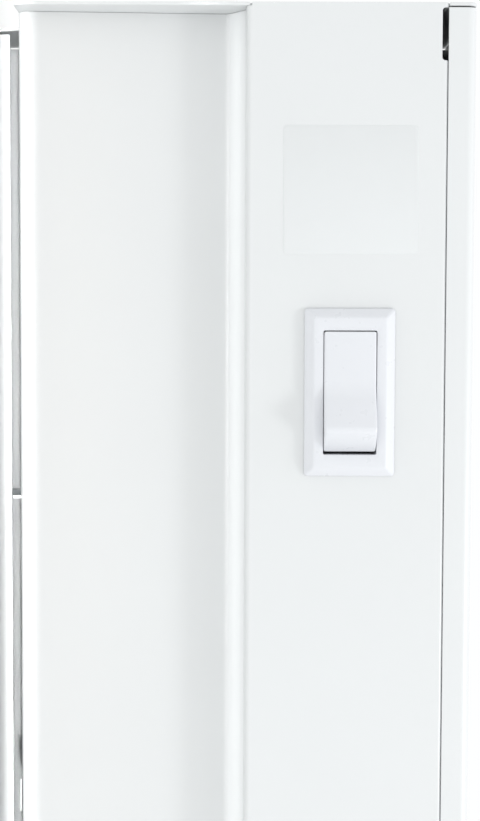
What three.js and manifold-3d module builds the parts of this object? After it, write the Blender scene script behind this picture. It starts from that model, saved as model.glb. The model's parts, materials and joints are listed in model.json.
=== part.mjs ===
// Electric baseboard heater with a rocker switch at its left end.
// Millimetres. X runs along the heater, the front faces -Y, Z is up and the floor is Z = 0.
// Inside this file a depth is a distance out from the wall, so world Y is minus the depth,
// until the finished group is moved forward or back to centre it on the origin.

import * as THREE from "three";
import { mergeVertices } from "three/addons/utils/BufferGeometryUtils.js";
import Module from "manifold-3d";

const wasm = await Module();
wasm.setup();

// ---- driving dimensions ----
const LENGTH = 762;
const DEPTH = 65;
const HEIGHT = 152;
const SHEET = 1;
const GAP = 0.3;
const BEND = 3;

const FLANGE_DEPTH = 25;
const FLANGE_LIP = 7.6;
const HOOD_LIP = 8;
const HOOD_END_GAP = 0.5;

const COVER_FOOT = 15;
const SEAM = 0.5;
const STEP_TOP = 84;
const STEP_FOOT = 78.6;
const RECESS_TOP = 12;
const RECESS_FOOT = 8.5;
const HEM = 8;
const COVER_HOOK = 6;
const NOTCH_LENGTH = 16;
const NOTCH_HEIGHT = 2;

const BARRIER_LEFT = -230;
const BARRIER_RIGHT = 300;
const BARRIER_FLANGE = 12;

const SLOT_WIDTH = 8;
const SLOT_REACH = 36;
const SLOT_PITCH = 15;
const SLOT_COUNT = 34;

const ROD_DEPTH = 31;
const ROD_HEIGHT = 62;
const ROD_RADIUS = 4;
const COLLAR_RADIUS = 5.2;
const FIN_THICKNESS = 0.6;
const FIN_PITCH = 8;
const FIN_COUNT = 60;
const FIN_REACH = 38;
const FIN_HEIGHT = 56;
const FIRST_FIN = -198;

const CHANNEL_DEPTH = 7;
const CHANNEL_Z = 25;
const CHANNEL_FRONT = 13;
const CHANNEL_TOP = 32;
const CHANNEL_FOOT = 19.5;
const FLOOR_Z = 17.5;
const FLOOR_FRONT = 46.5;

const BRACKETS = [-150, 42, 234];
const BRACKET_SHEET = 1.2;

const SWITCH_X = -266;
const SWITCH_Z = 115;
const BEZEL_LENGTH = 50;
const BEZEL_HEIGHT = 27;
const BEZEL_PROUD = 3;
const BEZEL_BEVEL = 2.6;
const HOUSING_LENGTH = 44;
const HOUSING_HEIGHT = 21.4;
const HOUSING_DEPTH = 24;
const ROCKER_HALF = 17.7;
const ROCKER_WIDTH = 15.5;
const ROCKER_CLEARANCE = 0.35;
const ROCKER_TILT = THREE.MathUtils.degToRad(10);
const PIVOT_BELOW_BEZEL = 4;
const ROCKER_FLUSH = 0.3;
const TRUNNION_RADIUS = 1.5;
const ARM_PIVOT = 14;
const ARM_TILT = THREE.MathUtils.degToRad(7);
const ARM_HALF = 12.5;
const TIP_REACH = 13.2;
const BLADE = 0.8;
const BLADE_WIDTH = 6.3;

const LIMIT_DEPTH = 20;
const LIMIT_Z = 104;
const BULB_DEPTH = 33;

const WIRE = 1.5;
const ENTRY_X = -345;
const ENTRY_Z = 45;
const ENTRY_RADIUS = 10.5;
const ENTRY_BORE = 7;
const EARTH_X = -300;
const EARTH_Z = 40;
const NUT_LENGTH = 20;
const NUTS = { line: [-318, 22, 92], neutral: [-318, 22, 74], earth: [-318, 22, 56] };
const BLADES = { line: 0, load: 11.5 };

const LEFT = -LENGTH / 2;
const RIGHT = LENGTH / 2;
const PIVOT_DEPTH = DEPTH + GAP + BEZEL_PROUD - PIVOT_BELOW_BEZEL;
const HOUSING_BACK = DEPTH - HOUSING_DEPTH;
const BLADE_TAIL = PIVOT_DEPTH - HOUSING_BACK + 9;
const LABEL_DEPTH = DEPTH + 0.1;
const BUSHING_RADIUS = COLLAR_RADIUS + 2.2;
const LAST_FIN = FIRST_FIN + (FIN_COUNT - 1) * FIN_PITCH;
const ROD_LEFT = BARRIER_LEFT - 14;
const ROD_RIGHT = BARRIER_RIGHT + 14;
const LIMIT_X = BARRIER_RIGHT + SHEET + GAP;

// Through holes in the partitions, as depth, height and radius.
const ROD_HOLE = [ROD_DEPTH, ROD_HEIGHT, 6];
const CHANNEL_HOLE = [CHANNEL_DEPTH, CHANNEL_Z, 3];
const BULB_HOLE = [BULB_DEPTH, LIMIT_Z - 4, 2.2];

// Holes for the wall screws, as X and height.
const WALL_SCREWS = [
  [-340, 100],
  [-120, 120],
  [200, 120],
  [340, 100],
];

// Screws through the end cap flanges, as name, X and height.
const CAP_SCREWS = [
  ["end_cap_screw_left_lower", LEFT + 9, 30],
  ["end_cap_screw_left_upper", LEFT + 9, 125],
  ["end_cap_screw_right_lower", RIGHT - 9, 30],
  ["end_cap_screw_right_upper", RIGHT - 9, 125],
];

// ---- materials ----
const paint = (color, roughness, metalness) =>
  new THREE.MeshStandardMaterial({ color, roughness, metalness });
const enamel = () => paint(0xeff2f2, 0.42, 0.1);
const galvanised = () => paint(0xb4b8ba, 0.45, 0.85);
const aluminium = () => paint(0xd2d5d8, 0.35, 0.95);
const sheathSteel = () => paint(0x6d665f, 0.5, 0.8);
const platedBrass = () => paint(0xc9a85c, 0.35, 0.9);
const zincScrew = () => paint(0xc4c6c8, 0.35, 0.9);
const ceramic = () => paint(0xe9e3d6, 0.6, 0);
const whitePlastic = () => paint(0xeaedf2, 0.3, 0);
const nylon = () => paint(0xd9d6c8, 0.5, 0);
const phenolic = () => paint(0x2c2523, 0.5, 0);
const labelFilm = () => paint(0xe6eaea, 0.5, 0);
const wire = (color) => paint(color, 0.45, 0);

// ---- geometry helpers ----
const heater = new THREE.Group();

function add(name, geometry, material, parent = heater) {
  const mesh = new THREE.Mesh(geometry, material);
  mesh.name = name;
  parent.add(mesh);
  return mesh;
}

function solid(geometry) {
  const bare = geometry.clone();
  bare.deleteAttribute("normal");
  bare.deleteAttribute("uv");
  const merged = mergeVertices(bare, 1e-4);
  const mesh = new wasm.Mesh({
    numProp: 3,
    vertProperties: new Float32Array(merged.attributes.position.array),
    triVerts: new Uint32Array(merged.index.array),
  });
  return new wasm.Manifold(mesh);
}

function surface(body) {
  const mesh = body.getMesh();
  const geometry = new THREE.BufferGeometry();
  geometry.setAttribute("position", new THREE.BufferAttribute(mesh.vertProperties, 3));
  geometry.setIndex(new THREE.BufferAttribute(mesh.triVerts, 1));
  geometry.computeVertexNormals();
  return geometry;
}

const join = (...shapes) =>
  surface(shapes.map(solid).reduce((whole, next) => whole.add(next)));

const cut = (shape, ...tools) =>
  surface(tools.map(solid).reduce((whole, tool) => whole.subtract(tool), solid(shape)));

// A box between two X places, two depths from the wall and two heights.
function block(x0, x1, depth0, depth1, z0, z1) {
  const geometry = new THREE.BoxGeometry(x1 - x0, depth1 - depth0, z1 - z0);
  return geometry.translate((x0 + x1) / 2, -(depth0 + depth1) / 2, (z0 + z1) / 2);
}

function rodAlongX(x0, x1, depth, z, radius, sides = 16) {
  const geometry = new THREE.CylinderGeometry(radius, radius, x1 - x0, sides);
  return geometry.rotateZ(Math.PI / 2).translate((x0 + x1) / 2, -depth, z);
}

function rodAlongDepth(x, depth0, depth1, z, radius, sides = 16) {
  const geometry = new THREE.CylinderGeometry(radius, radius, depth1 - depth0, sides);
  return geometry.translate(x, -(depth0 + depth1) / 2, z);
}

// A closed outline of [depth, height] points, carried along X from x0 to x1.
function alongX(outline, x0, x1) {
  const shape = new THREE.Shape(outline.map(([depth, z]) => new THREE.Vector2(-depth, z)));
  const geometry = new THREE.ExtrudeGeometry(shape, { depth: x1 - x0, bevelEnabled: false });
  const turn = new THREE.Matrix4().makeBasis(
    new THREE.Vector3(0, 1, 0),
    new THREE.Vector3(0, 0, 1),
    new THREE.Vector3(1, 0, 0),
  );
  return geometry.applyMatrix4(turn).translate(x0, 0, 0);
}

// The outline of a bent sheet: a centre line of [depth, height] corners, each rounded to a
// bend radius, thickened by half a sheet to both sides.
function bentSheet(corners, thickness, radius) {
  const points = corners.map(([depth, z]) => new THREE.Vector2(depth, z));
  const line = [points[0]];
  for (let i = 1; i < points.length - 1; i++) {
    const into = points[i].clone().sub(points[i - 1]).normalize();
    const out = points[i + 1].clone().sub(points[i]).normalize();
    const turn = Math.acos(THREE.MathUtils.clamp(into.dot(out), -1, 1));
    const back = radius * Math.tan(turn / 2);
    const start = points[i].clone().addScaledVector(into, -back);
    const side = Math.sign(into.cross(out));
    const steps = Math.max(2, Math.round(turn / 0.4));
    for (let k = 0; k <= steps; k++) {
      const angle = (turn * k) / steps;
      const along = radius * Math.sin(angle);
      const across = radius * (1 - Math.cos(angle)) * side;
      line.push(
        new THREE.Vector2(
          start.x + into.x * along - into.y * across,
          start.y + into.y * along + into.x * across,
        ),
      );
    }
  }
  line.push(points[points.length - 1]);
  const sideOf = (half) =>
    line.map((point, i) => {
      const before = line[Math.max(i - 1, 0)];
      const after = line[Math.min(i + 1, line.length - 1)];
      const along = after.clone().sub(before).normalize();
      return [point.x - along.y * half, point.y + along.x * half];
    });
  return [...sideOf(thickness / 2), ...sideOf(-thickness / 2).reverse()];
}

// A round wire or tube through [x, depth, height] points.
function tube(points, radius, steps, sides = 8) {
  const path = new THREE.CatmullRomCurve3(
    points.map(([x, depth, z]) => new THREE.Vector3(x, -depth, z)),
    false,
    "centripetal",
  );
  const section = new THREE.Shape();
  for (let i = 0; i < sides; i++) {
    const angle = (2 * Math.PI * i) / sides;
    const place = [radius * Math.cos(angle), radius * Math.sin(angle)];
    if (i === 0) section.moveTo(...place);
    else section.lineTo(...place);
  }
  return new THREE.ExtrudeGeometry(section, { steps, extrudePath: path, bevelEnabled: false });
}

// ---- casing ----
function makeBackPanel() {
  const mid = SHEET / 2;
  const profile = bentSheet(
    [
      [DEPTH - mid, HEIGHT - HOOD_LIP],
      [DEPTH - mid, HEIGHT - mid],
      [mid, HEIGHT - mid],
      [mid, mid],
      [FLANGE_DEPTH - mid, mid],
      [FLANGE_DEPTH - mid, FLANGE_LIP],
    ],
    SHEET,
    1.6,
  );
  const inset = SHEET + HOOD_END_GAP;
  const panel = alongX(profile, LEFT + inset, RIGHT - inset);
  const slots = [];
  const firstSlot = (BARRIER_LEFT + BARRIER_RIGHT - (SLOT_COUNT - 1) * SLOT_PITCH) / 2;
  for (let i = 0; i < SLOT_COUNT; i++) {
    const x = firstSlot + i * SLOT_PITCH;
    const from = (DEPTH - SLOT_REACH) / 2;
    const half = SLOT_WIDTH / 2;
    slots.push(block(x - half, x + half, from, from + SLOT_REACH, HEIGHT - 4, HEIGHT + 4));
  }
  const wallHoles = WALL_SCREWS.map(([x, z]) => rodAlongDepth(x, -2, 4, z, 2.5, 10));
  const capHoles = CAP_SCREWS.map(([, x, z]) => rodAlongDepth(x, -2, 4, z, 2.1, 10));
  const entry = rodAlongDepth(ENTRY_X, -2, 4, ENTRY_Z, ENTRY_RADIUS + GAP, 20);
  const earth = rodAlongDepth(EARTH_X, -2, 4, EARTH_Z, 2.1, 10);
  return cut(panel, ...slots, ...wallHoles, ...capHoles, entry, earth);
}

function makeFrontCover() {
  const face = DEPTH - SHEET / 2;
  const top = HEIGHT - HOOD_LIP - SEAM;
  const upper = bentSheet(
    [
      [face - COVER_HOOK, top - SHEET / 2],
      [face, top - SHEET / 2],
      [face, STEP_TOP + 0.5],
      [face - RECESS_TOP, STEP_FOOT],
      [face - RECESS_FOOT, COVER_FOOT + SHEET / 2],
      [face - RECESS_FOOT - HEM, COVER_FOOT + SHEET / 2],
    ],
    SHEET,
    BEND,
  );
  const whole = alongX(upper, LEFT, RIGHT);
  const shoulder = STEP_TOP + 1.5;
  const endInset = SHEET + GAP;
  const lowerEnds = [
    block(LEFT - 2, LEFT + endInset, 0, DEPTH + 2, 0, shoulder),
    block(RIGHT - endInset, RIGHT + 2, 0, DEPTH + 2, 0, shoulder),
  ];
  const hookEnds = [
    block(LEFT - 2, LEFT + endInset, 0, DEPTH - SHEET - GAP, shoulder - 1, top + 2),
    block(RIGHT - endInset, RIGHT + 2, 0, DEPTH - SHEET - GAP, shoulder - 1, top + 2),
  ];
  const notchFrom = SHEET + HOOD_END_GAP;
  const notches = [
    block(LEFT + notchFrom, LEFT + notchFrom + NOTCH_LENGTH, 50, 70, top - NOTCH_HEIGHT, top + 2),
    block(RIGHT - notchFrom - NOTCH_LENGTH, RIGHT - notchFrom, 50, 70, top - NOTCH_HEIGHT, top + 2),
  ];
  const opening = switchBlock(HOUSING_LENGTH + 1, HOUSING_HEIGHT + 1, DEPTH - 4, DEPTH + 4);
  return cut(whole, ...lowerEnds, ...hookEnds, ...notches, opening);
}

// An end cap: one pressed plate with a flange turned inwards along the wall.
function makeEndCap(side) {
  const behindCover = DEPTH - SHEET - GAP;
  const seamHeight = HEIGHT - HOOD_LIP - SEAM / 2;
  const outline = [
    [0, 0],
    [FLANGE_DEPTH + 0.5, 0],
    [FLANGE_DEPTH + 4, COVER_FOOT - 3],
    [FLANGE_DEPTH + 8, COVER_FOOT],
    [DEPTH - 2, COVER_FOOT],
    [DEPTH - 0.6, COVER_FOOT + 0.6],
    [DEPTH, COVER_FOOT + 2],
    [DEPTH, STEP_TOP + 1],
    [behindCover, STEP_TOP + 1],
    [behindCover, seamHeight],
    [DEPTH, seamHeight],
    [DEPTH, HEIGHT - 2],
    [DEPTH - 0.6, HEIGHT - 0.6],
    [DEPTH - 2, HEIGHT],
    [0, HEIGHT],
  ];
  const outer = side < 0 ? LEFT : RIGHT;
  const inner = outer - side * SHEET;
  const plate = alongX(outline, Math.min(outer, inner), Math.max(outer, inner));
  const flangeEnd = outer - side * 14;
  const flange = block(
    Math.min(outer, flangeEnd),
    Math.max(outer, flangeEnd),
    SHEET + GAP,
    2 * SHEET + GAP,
    12,
    140,
  );
  const holes = CAP_SCREWS.filter(([, x]) => Math.sign(x) === side).map(([, x, z]) =>
    rodAlongDepth(x, 0.5, 4, z, 2.1, 10),
  );
  return cut(join(plate, flange), ...holes);
}

// A pan-head screw that runs towards the wall, its head resting on a sheet at the given depth.
function makeScrew(x, z, seat, headRadius, shankRadius, length) {
  const profile = [
    new THREE.Vector2(0, -length),
    new THREE.Vector2(shankRadius * 0.6, -length),
    new THREE.Vector2(shankRadius, -length + 0.4),
    new THREE.Vector2(shankRadius, 0),
    new THREE.Vector2(headRadius, 0),
    new THREE.Vector2(headRadius, 0.9),
    new THREE.Vector2(headRadius * 0.8, 1.8),
    new THREE.Vector2(headRadius * 0.4, 2.2),
    new THREE.Vector2(0, 2.3),
  ];
  const turned = new THREE.LatheGeometry(profile, 12).rotateX(Math.PI).translate(x, -seat, z);
  const slot = block(x - headRadius, x + headRadius, seat + 1.4, seat + 4, z - 0.45, z + 0.45);
  return cut(turned, slot);
}

// ---- partitions and supports ----
function makeBarrier(x, throughHoles) {
  const front = DEPTH - SHEET - GAP - 0.4;
  const recessed = DEPTH - RECESS_TOP - SHEET - 0.8;
  const back = SHEET + GAP;
  const outline = [
    [back, back],
    [FLANGE_DEPTH - SHEET - 1, back],
    [FLANGE_DEPTH - SHEET - 1, COVER_FOOT + 2],
    [recessed, COVER_FOOT + 4],
    [recessed, STEP_FOOT + 2],
    [front - 3, STEP_TOP + 5],
    [front, STEP_TOP + 9],
    [front, HEIGHT - HOOD_LIP - 4],
    [front - COVER_HOOK - 2, HEIGHT - HOOD_LIP - 4],
    [front - COVER_HOOK - 2, HEIGHT - SHEET - GAP - 0.4],
    [back + 3, HEIGHT - SHEET - GAP - 0.4],
    [back, HEIGHT - SHEET - GAP - 3.4],
  ];
  const plate = alongX(outline, x, x + SHEET);
  const flange = block(x, x + BARRIER_FLANGE, back, back + SHEET, 20, 140);
  const holes = throughHoles.map(([depth, z, radius]) =>
    rodAlongX(x - 4, x + 4, depth, z, radius, 14),
  );
  return cut(join(plate, flange), ...holes);
}

// The floor of a wiring compartment: a shallow tray between an end cap and a barrier.
function makeCompartmentFloor(x0, x1) {
  const behindFlange = 2 * SHEET + 3 * GAP + 0.4;
  const profile = bentSheet(
    [
      [behindFlange, FLOOR_Z + 6],
      [behindFlange, FLOOR_Z],
      [FLOOR_FRONT, FLOOR_Z],
      [FLOOR_FRONT, FLOOR_Z + 4],
    ],
    0.8,
    0.8,
  );
  return alongX(profile, x0, x1);
}

function makeBracket(x) {
  const back = SHEET + GAP;
  const nose = DEPTH - RECESS_FOOT - SHEET - HEM - 1;
  const outline = [
    [back, CHANNEL_TOP + 2],
    [CHANNEL_FRONT + 3, CHANNEL_TOP + 2],
    [nose - 6, COVER_FOOT + 5],
    [nose, COVER_FOOT + 3],
    [nose, COVER_FOOT + 10],
    [nose - 5, 34],
    [ROD_DEPTH + 10, ROD_HEIGHT - 6],
    [ROD_DEPTH + 10, ROD_HEIGHT + 6],
    [ROD_DEPTH + 5, ROD_HEIGHT + 11],
    [ROD_DEPTH - 8, ROD_HEIGHT + 11],
    [back, ROD_HEIGHT + 26],
  ];
  const plate = alongX(outline, x, x + BRACKET_SHEET);
  const foot = block(
    x - 3,
    x + BRACKET_SHEET,
    back,
    back + BRACKET_SHEET,
    CHANNEL_TOP + 6,
    ROD_HEIGHT + 22,
  );
  const bore = rodAlongX(x - 4, x + 4, ROD_DEPTH, ROD_HEIGHT, BUSHING_RADIUS + GAP, 20);
  return cut(join(plate, foot), bore);
}

function makeBushing(x) {
  const barrel = rodAlongX(x - 1.6, x + BRACKET_SHEET + 1.6, ROD_DEPTH, ROD_HEIGHT, BUSHING_RADIUS, 20);
  const bore = rodAlongX(x - 4, x + 6, ROD_DEPTH, ROD_HEIGHT, COLLAR_RADIUS + GAP, 20);
  return cut(barrel, bore);
}

// A spring clip on each support nose: a U of strip that grips the hem of the cover.
function makeCoverClip(x) {
  const hemBack = DEPTH - RECESS_FOOT - SHEET / 2 - HEM;
  const hemTop = COVER_FOOT + SHEET + GAP;
  const profile = bentSheet(
    [
      [hemBack + 5, hemTop + 0.4],
      [hemBack - 0.9, hemTop + 0.4],
      [hemBack - 0.9, COVER_FOOT - GAP - 0.4],
      [hemBack + 4, COVER_FOOT - GAP - 0.4],
    ],
    0.6,
    0.5,
  );
  return alongX(profile, x + BRACKET_SHEET + 0.4, x + BRACKET_SHEET + 10.4);
}

// ---- heating element ----
function makeFinPack() {
  const collar = rodAlongX(FIRST_FIN - 4, LAST_FIN + 4, ROD_DEPTH, ROD_HEIGHT, COLLAR_RADIUS, 12);
  const fins = [];
  for (let i = 0; i < FIN_COUNT; i++) {
    const x = FIRST_FIN + i * FIN_PITCH;
    fins.push(
      block(
        x,
        x + FIN_THICKNESS,
        ROD_DEPTH - FIN_REACH / 2,
        ROD_DEPTH + FIN_REACH / 2,
        ROD_HEIGHT - FIN_HEIGHT / 2,
        ROD_HEIGHT + FIN_HEIGHT / 2,
      ),
    );
  }
  const bore = rodAlongX(FIRST_FIN - 9, LAST_FIN + 9, ROD_DEPTH, ROD_HEIGHT, ROD_RADIUS + GAP, 12);
  return cut(join(collar, ...fins), bore);
}

function makeSheath() {
  const sheath = rodAlongX(ROD_LEFT, ROD_RIGHT, ROD_DEPTH, ROD_HEIGHT, ROD_RADIUS, 16);
  const mouth = ROD_RADIUS - 0.8;
  return cut(
    sheath,
    rodAlongX(ROD_LEFT - 2, ROD_LEFT + 10, ROD_DEPTH, ROD_HEIGHT, mouth, 16),
    rodAlongX(ROD_RIGHT - 10, ROD_RIGHT + 2, ROD_DEPTH, ROD_HEIGHT, mouth, 16),
  );
}

// A ceramic plug in each mouth of the sheath, bored for the terminal pin.
function makeInsulator(side) {
  const mouth = side < 0 ? ROD_LEFT : ROD_RIGHT;
  const plugEnd = mouth - side * 8;
  const headEnd = mouth + side * 4;
  const headFrom = mouth + side * GAP;
  const between = (a, b, radius) =>
    rodAlongX(Math.min(a, b), Math.max(a, b), ROD_DEPTH, ROD_HEIGHT, radius, 14);
  const plug = between(mouth, plugEnd, 2.8);
  const head = between(headFrom, headEnd, 4.6);
  const neck = rodAlongX(mouth - 1, mouth + 1, ROD_DEPTH, ROD_HEIGHT, 2.8, 14);
  const bore = rodAlongX(mouth - 12, mouth + 12, ROD_DEPTH, ROD_HEIGHT, 1.5 + GAP, 12);
  return cut(join(plug, neck, head), bore);
}

function makePin(side) {
  const mouth = side < 0 ? ROD_LEFT : ROD_RIGHT;
  const inner = mouth - side * 7;
  const outer = mouth + side * 13;
  return rodAlongX(Math.min(inner, outer), Math.max(inner, outer), ROD_DEPTH, ROD_HEIGHT, 1.5, 12);
}

// A crimped sleeve that joins a lead to a terminal pin.
function makeCrimp(side) {
  const mouth = side < 0 ? ROD_LEFT : ROD_RIGHT;
  const from = mouth + side * 6;
  const to = mouth + side * 20;
  const sleeve = rodAlongX(Math.min(from, to), Math.max(from, to), ROD_DEPTH, ROD_HEIGHT, 3, 12);
  const socketEnd = mouth + side * 14;
  const socketFrom = mouth + side * 4;
  const socket = rodAlongX(
    Math.min(socketFrom, socketEnd),
    Math.max(socketFrom, socketEnd),
    ROD_DEPTH,
    ROD_HEIGHT,
    1.5 + GAP,
    12,
  );
  return cut(sleeve, socket);
}

// ---- overheat limit ----
function makeLimitBody() {
  const body = block(LIMIT_X, LIMIT_X + 32, LIMIT_DEPTH, LIMIT_DEPTH + 22, LIMIT_Z - 9, LIMIT_Z + 9);
  const button = rodAlongX(LIMIT_X + 31, LIMIT_X + 35, LIMIT_DEPTH + 6, LIMIT_Z + 3, 3, 12);
  const socket = rodAlongX(LIMIT_X - 2, LIMIT_X + 6, BULB_DEPTH, LIMIT_Z - 4, 1.6, 10);
  return cut(join(body, button), socket);
}

function makeLimitBulb() {
  return rodAlongX(FIRST_FIN, LIMIT_X + 5, BULB_DEPTH, LIMIT_Z - 4, 1.2, 8);
}

// A sheet clip that hangs the bulb over the fins from the wall side.
function makeBulbClip(x) {
  const back = SHEET + GAP;
  const z = LIMIT_Z - 4;
  const profile = bentSheet(
    [
      [back + 0.4, z + 14],
      [back + 0.4, z + 3],
      [BULB_DEPTH - 2.4, z + 3],
      [BULB_DEPTH - 2.4, z - 2.2],
      [BULB_DEPTH + 2.4, z - 2.2],
      [BULB_DEPTH + 2.4, z + 2],
    ],
    0.8,
    0.7,
  );
  return alongX(profile, x, x + 8);
}

// ---- wiring ----
function makeWireChannel() {
  const back = SHEET + GAP;
  const profile = bentSheet(
    [
      [back + 0.4, CHANNEL_TOP],
      [back + 0.4, CHANNEL_TOP - 3],
      [CHANNEL_FRONT, CHANNEL_TOP - 3],
      [CHANNEL_FRONT, CHANNEL_FOOT],
    ],
    0.8,
    0.8,
  );
  return alongX(profile, BARRIER_LEFT + BARRIER_FLANGE + GAP, BARRIER_RIGHT - GAP);
}

// A snap-in strain relief bushing, flanged on the inside of the panel.
function makeEntryBushing() {
  const barrel = rodAlongDepth(ENTRY_X, 0.1, 10, ENTRY_Z, ENTRY_RADIUS, 20);
  const collar = rodAlongDepth(ENTRY_X, SHEET + GAP, SHEET + GAP + 3, ENTRY_Z, ENTRY_RADIUS + 3, 20);
  const bore = rodAlongDepth(ENTRY_X, -2, 12, ENTRY_Z, ENTRY_BORE, 20);
  return cut(join(barrel, collar), bore);
}

// A twist-on splice connector: a tapered shell, its mouth facing +X.
function makeWireNut(x, depth, z) {
  const profile = [
    new THREE.Vector2(0, -NUT_LENGTH),
    new THREE.Vector2(3.2, -NUT_LENGTH),
    new THREE.Vector2(4.2, -NUT_LENGTH + 2),
    new THREE.Vector2(6.2, -2),
    new THREE.Vector2(6.2, 0),
    new THREE.Vector2(4.6, 0),
    new THREE.Vector2(3, -9),
    new THREE.Vector2(0, -9),
  ];
  return new THREE.LatheGeometry(profile, 12).rotateZ(-Math.PI / 2).translate(x, -depth, z);
}

// A box between two X places, two distances behind the rocker's axis and two heights.
const behindPivot = (x0, x1, near, far, z0, z1) =>
  block(SWITCH_X + x0, SWITCH_X + x1, PIVOT_DEPTH - far, PIVOT_DEPTH - near, SWITCH_Z + z0, SWITCH_Z + z1);

// A box centred on the switch, between two depths.
const switchBlock = (length, height, depth0, depth1) =>
  block(
    SWITCH_X - length / 2,
    SWITCH_X + length / 2,
    depth0,
    depth1,
    SWITCH_Z - height / 2,
    SWITCH_Z + height / 2,
  );

function makeSwitchHousing() {
  const flat = DEPTH + GAP + BEZEL_PROUD;
  const half = [BEZEL_LENGTH / 2, BEZEL_HEIGHT / 2];
  const bezel = new THREE.BoxGeometry(BEZEL_LENGTH, BEZEL_PROUD, BEZEL_HEIGHT);
  const corners = bezel.attributes.position;
  for (let i = 0; i < corners.count; i++) {
    if (corners.getY(i) > 0) continue;
    corners.setX(i, Math.sign(corners.getX(i)) * (half[0] - BEZEL_BEVEL));
    corners.setZ(i, Math.sign(corners.getZ(i)) * (half[1] - BEZEL_BEVEL));
  }
  bezel.translate(SWITCH_X, -(flat - BEZEL_PROUD / 2), SWITCH_Z);
  const shell = switchBlock(HOUSING_LENGTH, HOUSING_HEIGHT, HOUSING_BACK, DEPTH + 1);
  const clear = 2 * ROCKER_CLEARANCE;
  const mouth = switchBlock(
    2 * ROCKER_HALF + clear,
    ROCKER_WIDTH + clear,
    HOUSING_BACK + 2,
    flat + 2,
  );
  const bearing = new THREE.CylinderGeometry(
    TRUNNION_RADIUS + GAP,
    TRUNNION_RADIUS + GAP,
    ROCKER_WIDTH + 3.6,
    12,
  );
  bearing.rotateX(Math.PI / 2).translate(SWITCH_X, -PIVOT_DEPTH, SWITCH_Z);
  const tails = Object.values(BLADES).map((x) =>
    block(
      SWITCH_X + x - BLADE / 2 - GAP,
      SWITCH_X + x + BLADE / 2 + GAP,
      HOUSING_BACK - 2,
      HOUSING_BACK + 4,
      SWITCH_Z - BLADE_WIDTH / 2 - GAP,
      SWITCH_Z + BLADE_WIDTH / 2 + GAP,
    ),
  );
  return cut(join(bezel, shell), mouth, bearing, ...tails);
}

// The rocker in its own frame: X along it, Y out to the front, the trunnions on Z.
function makeRocker() {
  const face = PIVOT_BELOW_BEZEL + ROCKER_FLUSH;
  const c = Math.cos(ROCKER_TILT);
  const s = Math.sin(ROCKER_TILT);
  const end = (along, out) => [along * c - out * s, along * s + out * c];
  const edge = 2;
  const right = [];
  for (let k = 0; k <= 4; k++) {
    const angle = (Math.PI / 2) * (1 - k / 4);
    right.push(end(ROCKER_HALF - edge + edge * Math.cos(angle), face - edge + edge * Math.sin(angle)));
  }
  const skirt = 5;
  const skirtAngle = THREE.MathUtils.degToRad(-18);
  for (let k = 0; k <= skirt; k++) {
    const angle = ROCKER_TILT + ((skirtAngle - ROCKER_TILT) * k) / skirt;
    right.push([ROCKER_HALF * Math.cos(angle), ROCKER_HALF * Math.sin(angle)]);
  }
  const left = right.map(([x, y]) => [-x, y]).reverse();
  const outline = [[0, face / c], ...right, ...left];
  const shape = new THREE.Shape(outline.map(([x, y]) => new THREE.Vector2(x, y)).reverse());
  const body = new THREE.ExtrudeGeometry(shape, { depth: ROCKER_WIDTH, bevelEnabled: false });
  body.translate(0, 0, -ROCKER_WIDTH / 2);
  const pin = new THREE.CylinderGeometry(TRUNNION_RADIUS, TRUNNION_RADIUS, ROCKER_WIDTH + 3, 12);
  pin.rotateX(Math.PI / 2);
  const pocket = new THREE.BoxGeometry(29, 12, 11.5).translate(0, -4.8, 0);
  const guide = new THREE.CylinderGeometry(3.5, 3.5, 7.5, 14).translate(0, -2.25, 0);
  const bore = new THREE.CylinderGeometry(2.3, 2.3, 8, 14).translate(0, -3.2, 0);
  const hollow = cut(body, pocket);
  return cut(join(hollow, pin, guide), bore);
}

function makePlunger() {
  const profile = [new THREE.Vector2(0, -TIP_REACH)];
  for (let k = 1; k <= 4; k++) {
    const angle = (Math.PI / 2) * (k / 4);
    profile.push(new THREE.Vector2(2 * Math.sin(angle), -TIP_REACH + 2 - 2 * Math.cos(angle)));
  }
  profile.push(new THREE.Vector2(2, -3.8), new THREE.Vector2(0, -3.8));
  return new THREE.LatheGeometry(profile, 12);
}

function makeSpring() {
  const turns = 3;
  const rise = 3.2;
  const points = [];
  for (let k = 0; k <= turns * 12; k++) {
    const angle = (2 * Math.PI * k) / 12;
    const y = 0.1 - (rise * k) / (turns * 12);
    points.push(new THREE.Vector3(1.5 * Math.cos(angle), y, 1.5 * Math.sin(angle)));
  }
  const corner = (k) => (Math.PI * k) / 3;
  const section = new THREE.Shape(
    [0, 1, 2, 3, 4, 5].map(
      (k) => new THREE.Vector2(0.25 * Math.cos(corner(k)), 0.25 * Math.sin(corner(k))),
    ),
  );
  return new THREE.ExtrudeGeometry(section, {
    steps: 40,
    extrudePath: new THREE.CatmullRomCurve3(points),
    bevelEnabled: false,
  });
}

// The see-saw contact arm in its own frame: a strip with a contact button on its live end.
function makeContactArm() {
  const strip = new THREE.BoxGeometry(2 * ARM_HALF, 0.8, 5);
  const button = new THREE.CylinderGeometry(1.6, 1.6, 1.2, 12).translate(BLADES.load - 0.4, -0.8, 0);
  return join(strip, button);
}

function makeLineBlade() {
  const top = ARM_PIVOT + 0.4 + GAP;
  return behindPivot(-BLADE / 2, BLADE / 2, top, BLADE_TAIL, -BLADE_WIDTH / 2, BLADE_WIDTH / 2);
}

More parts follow.
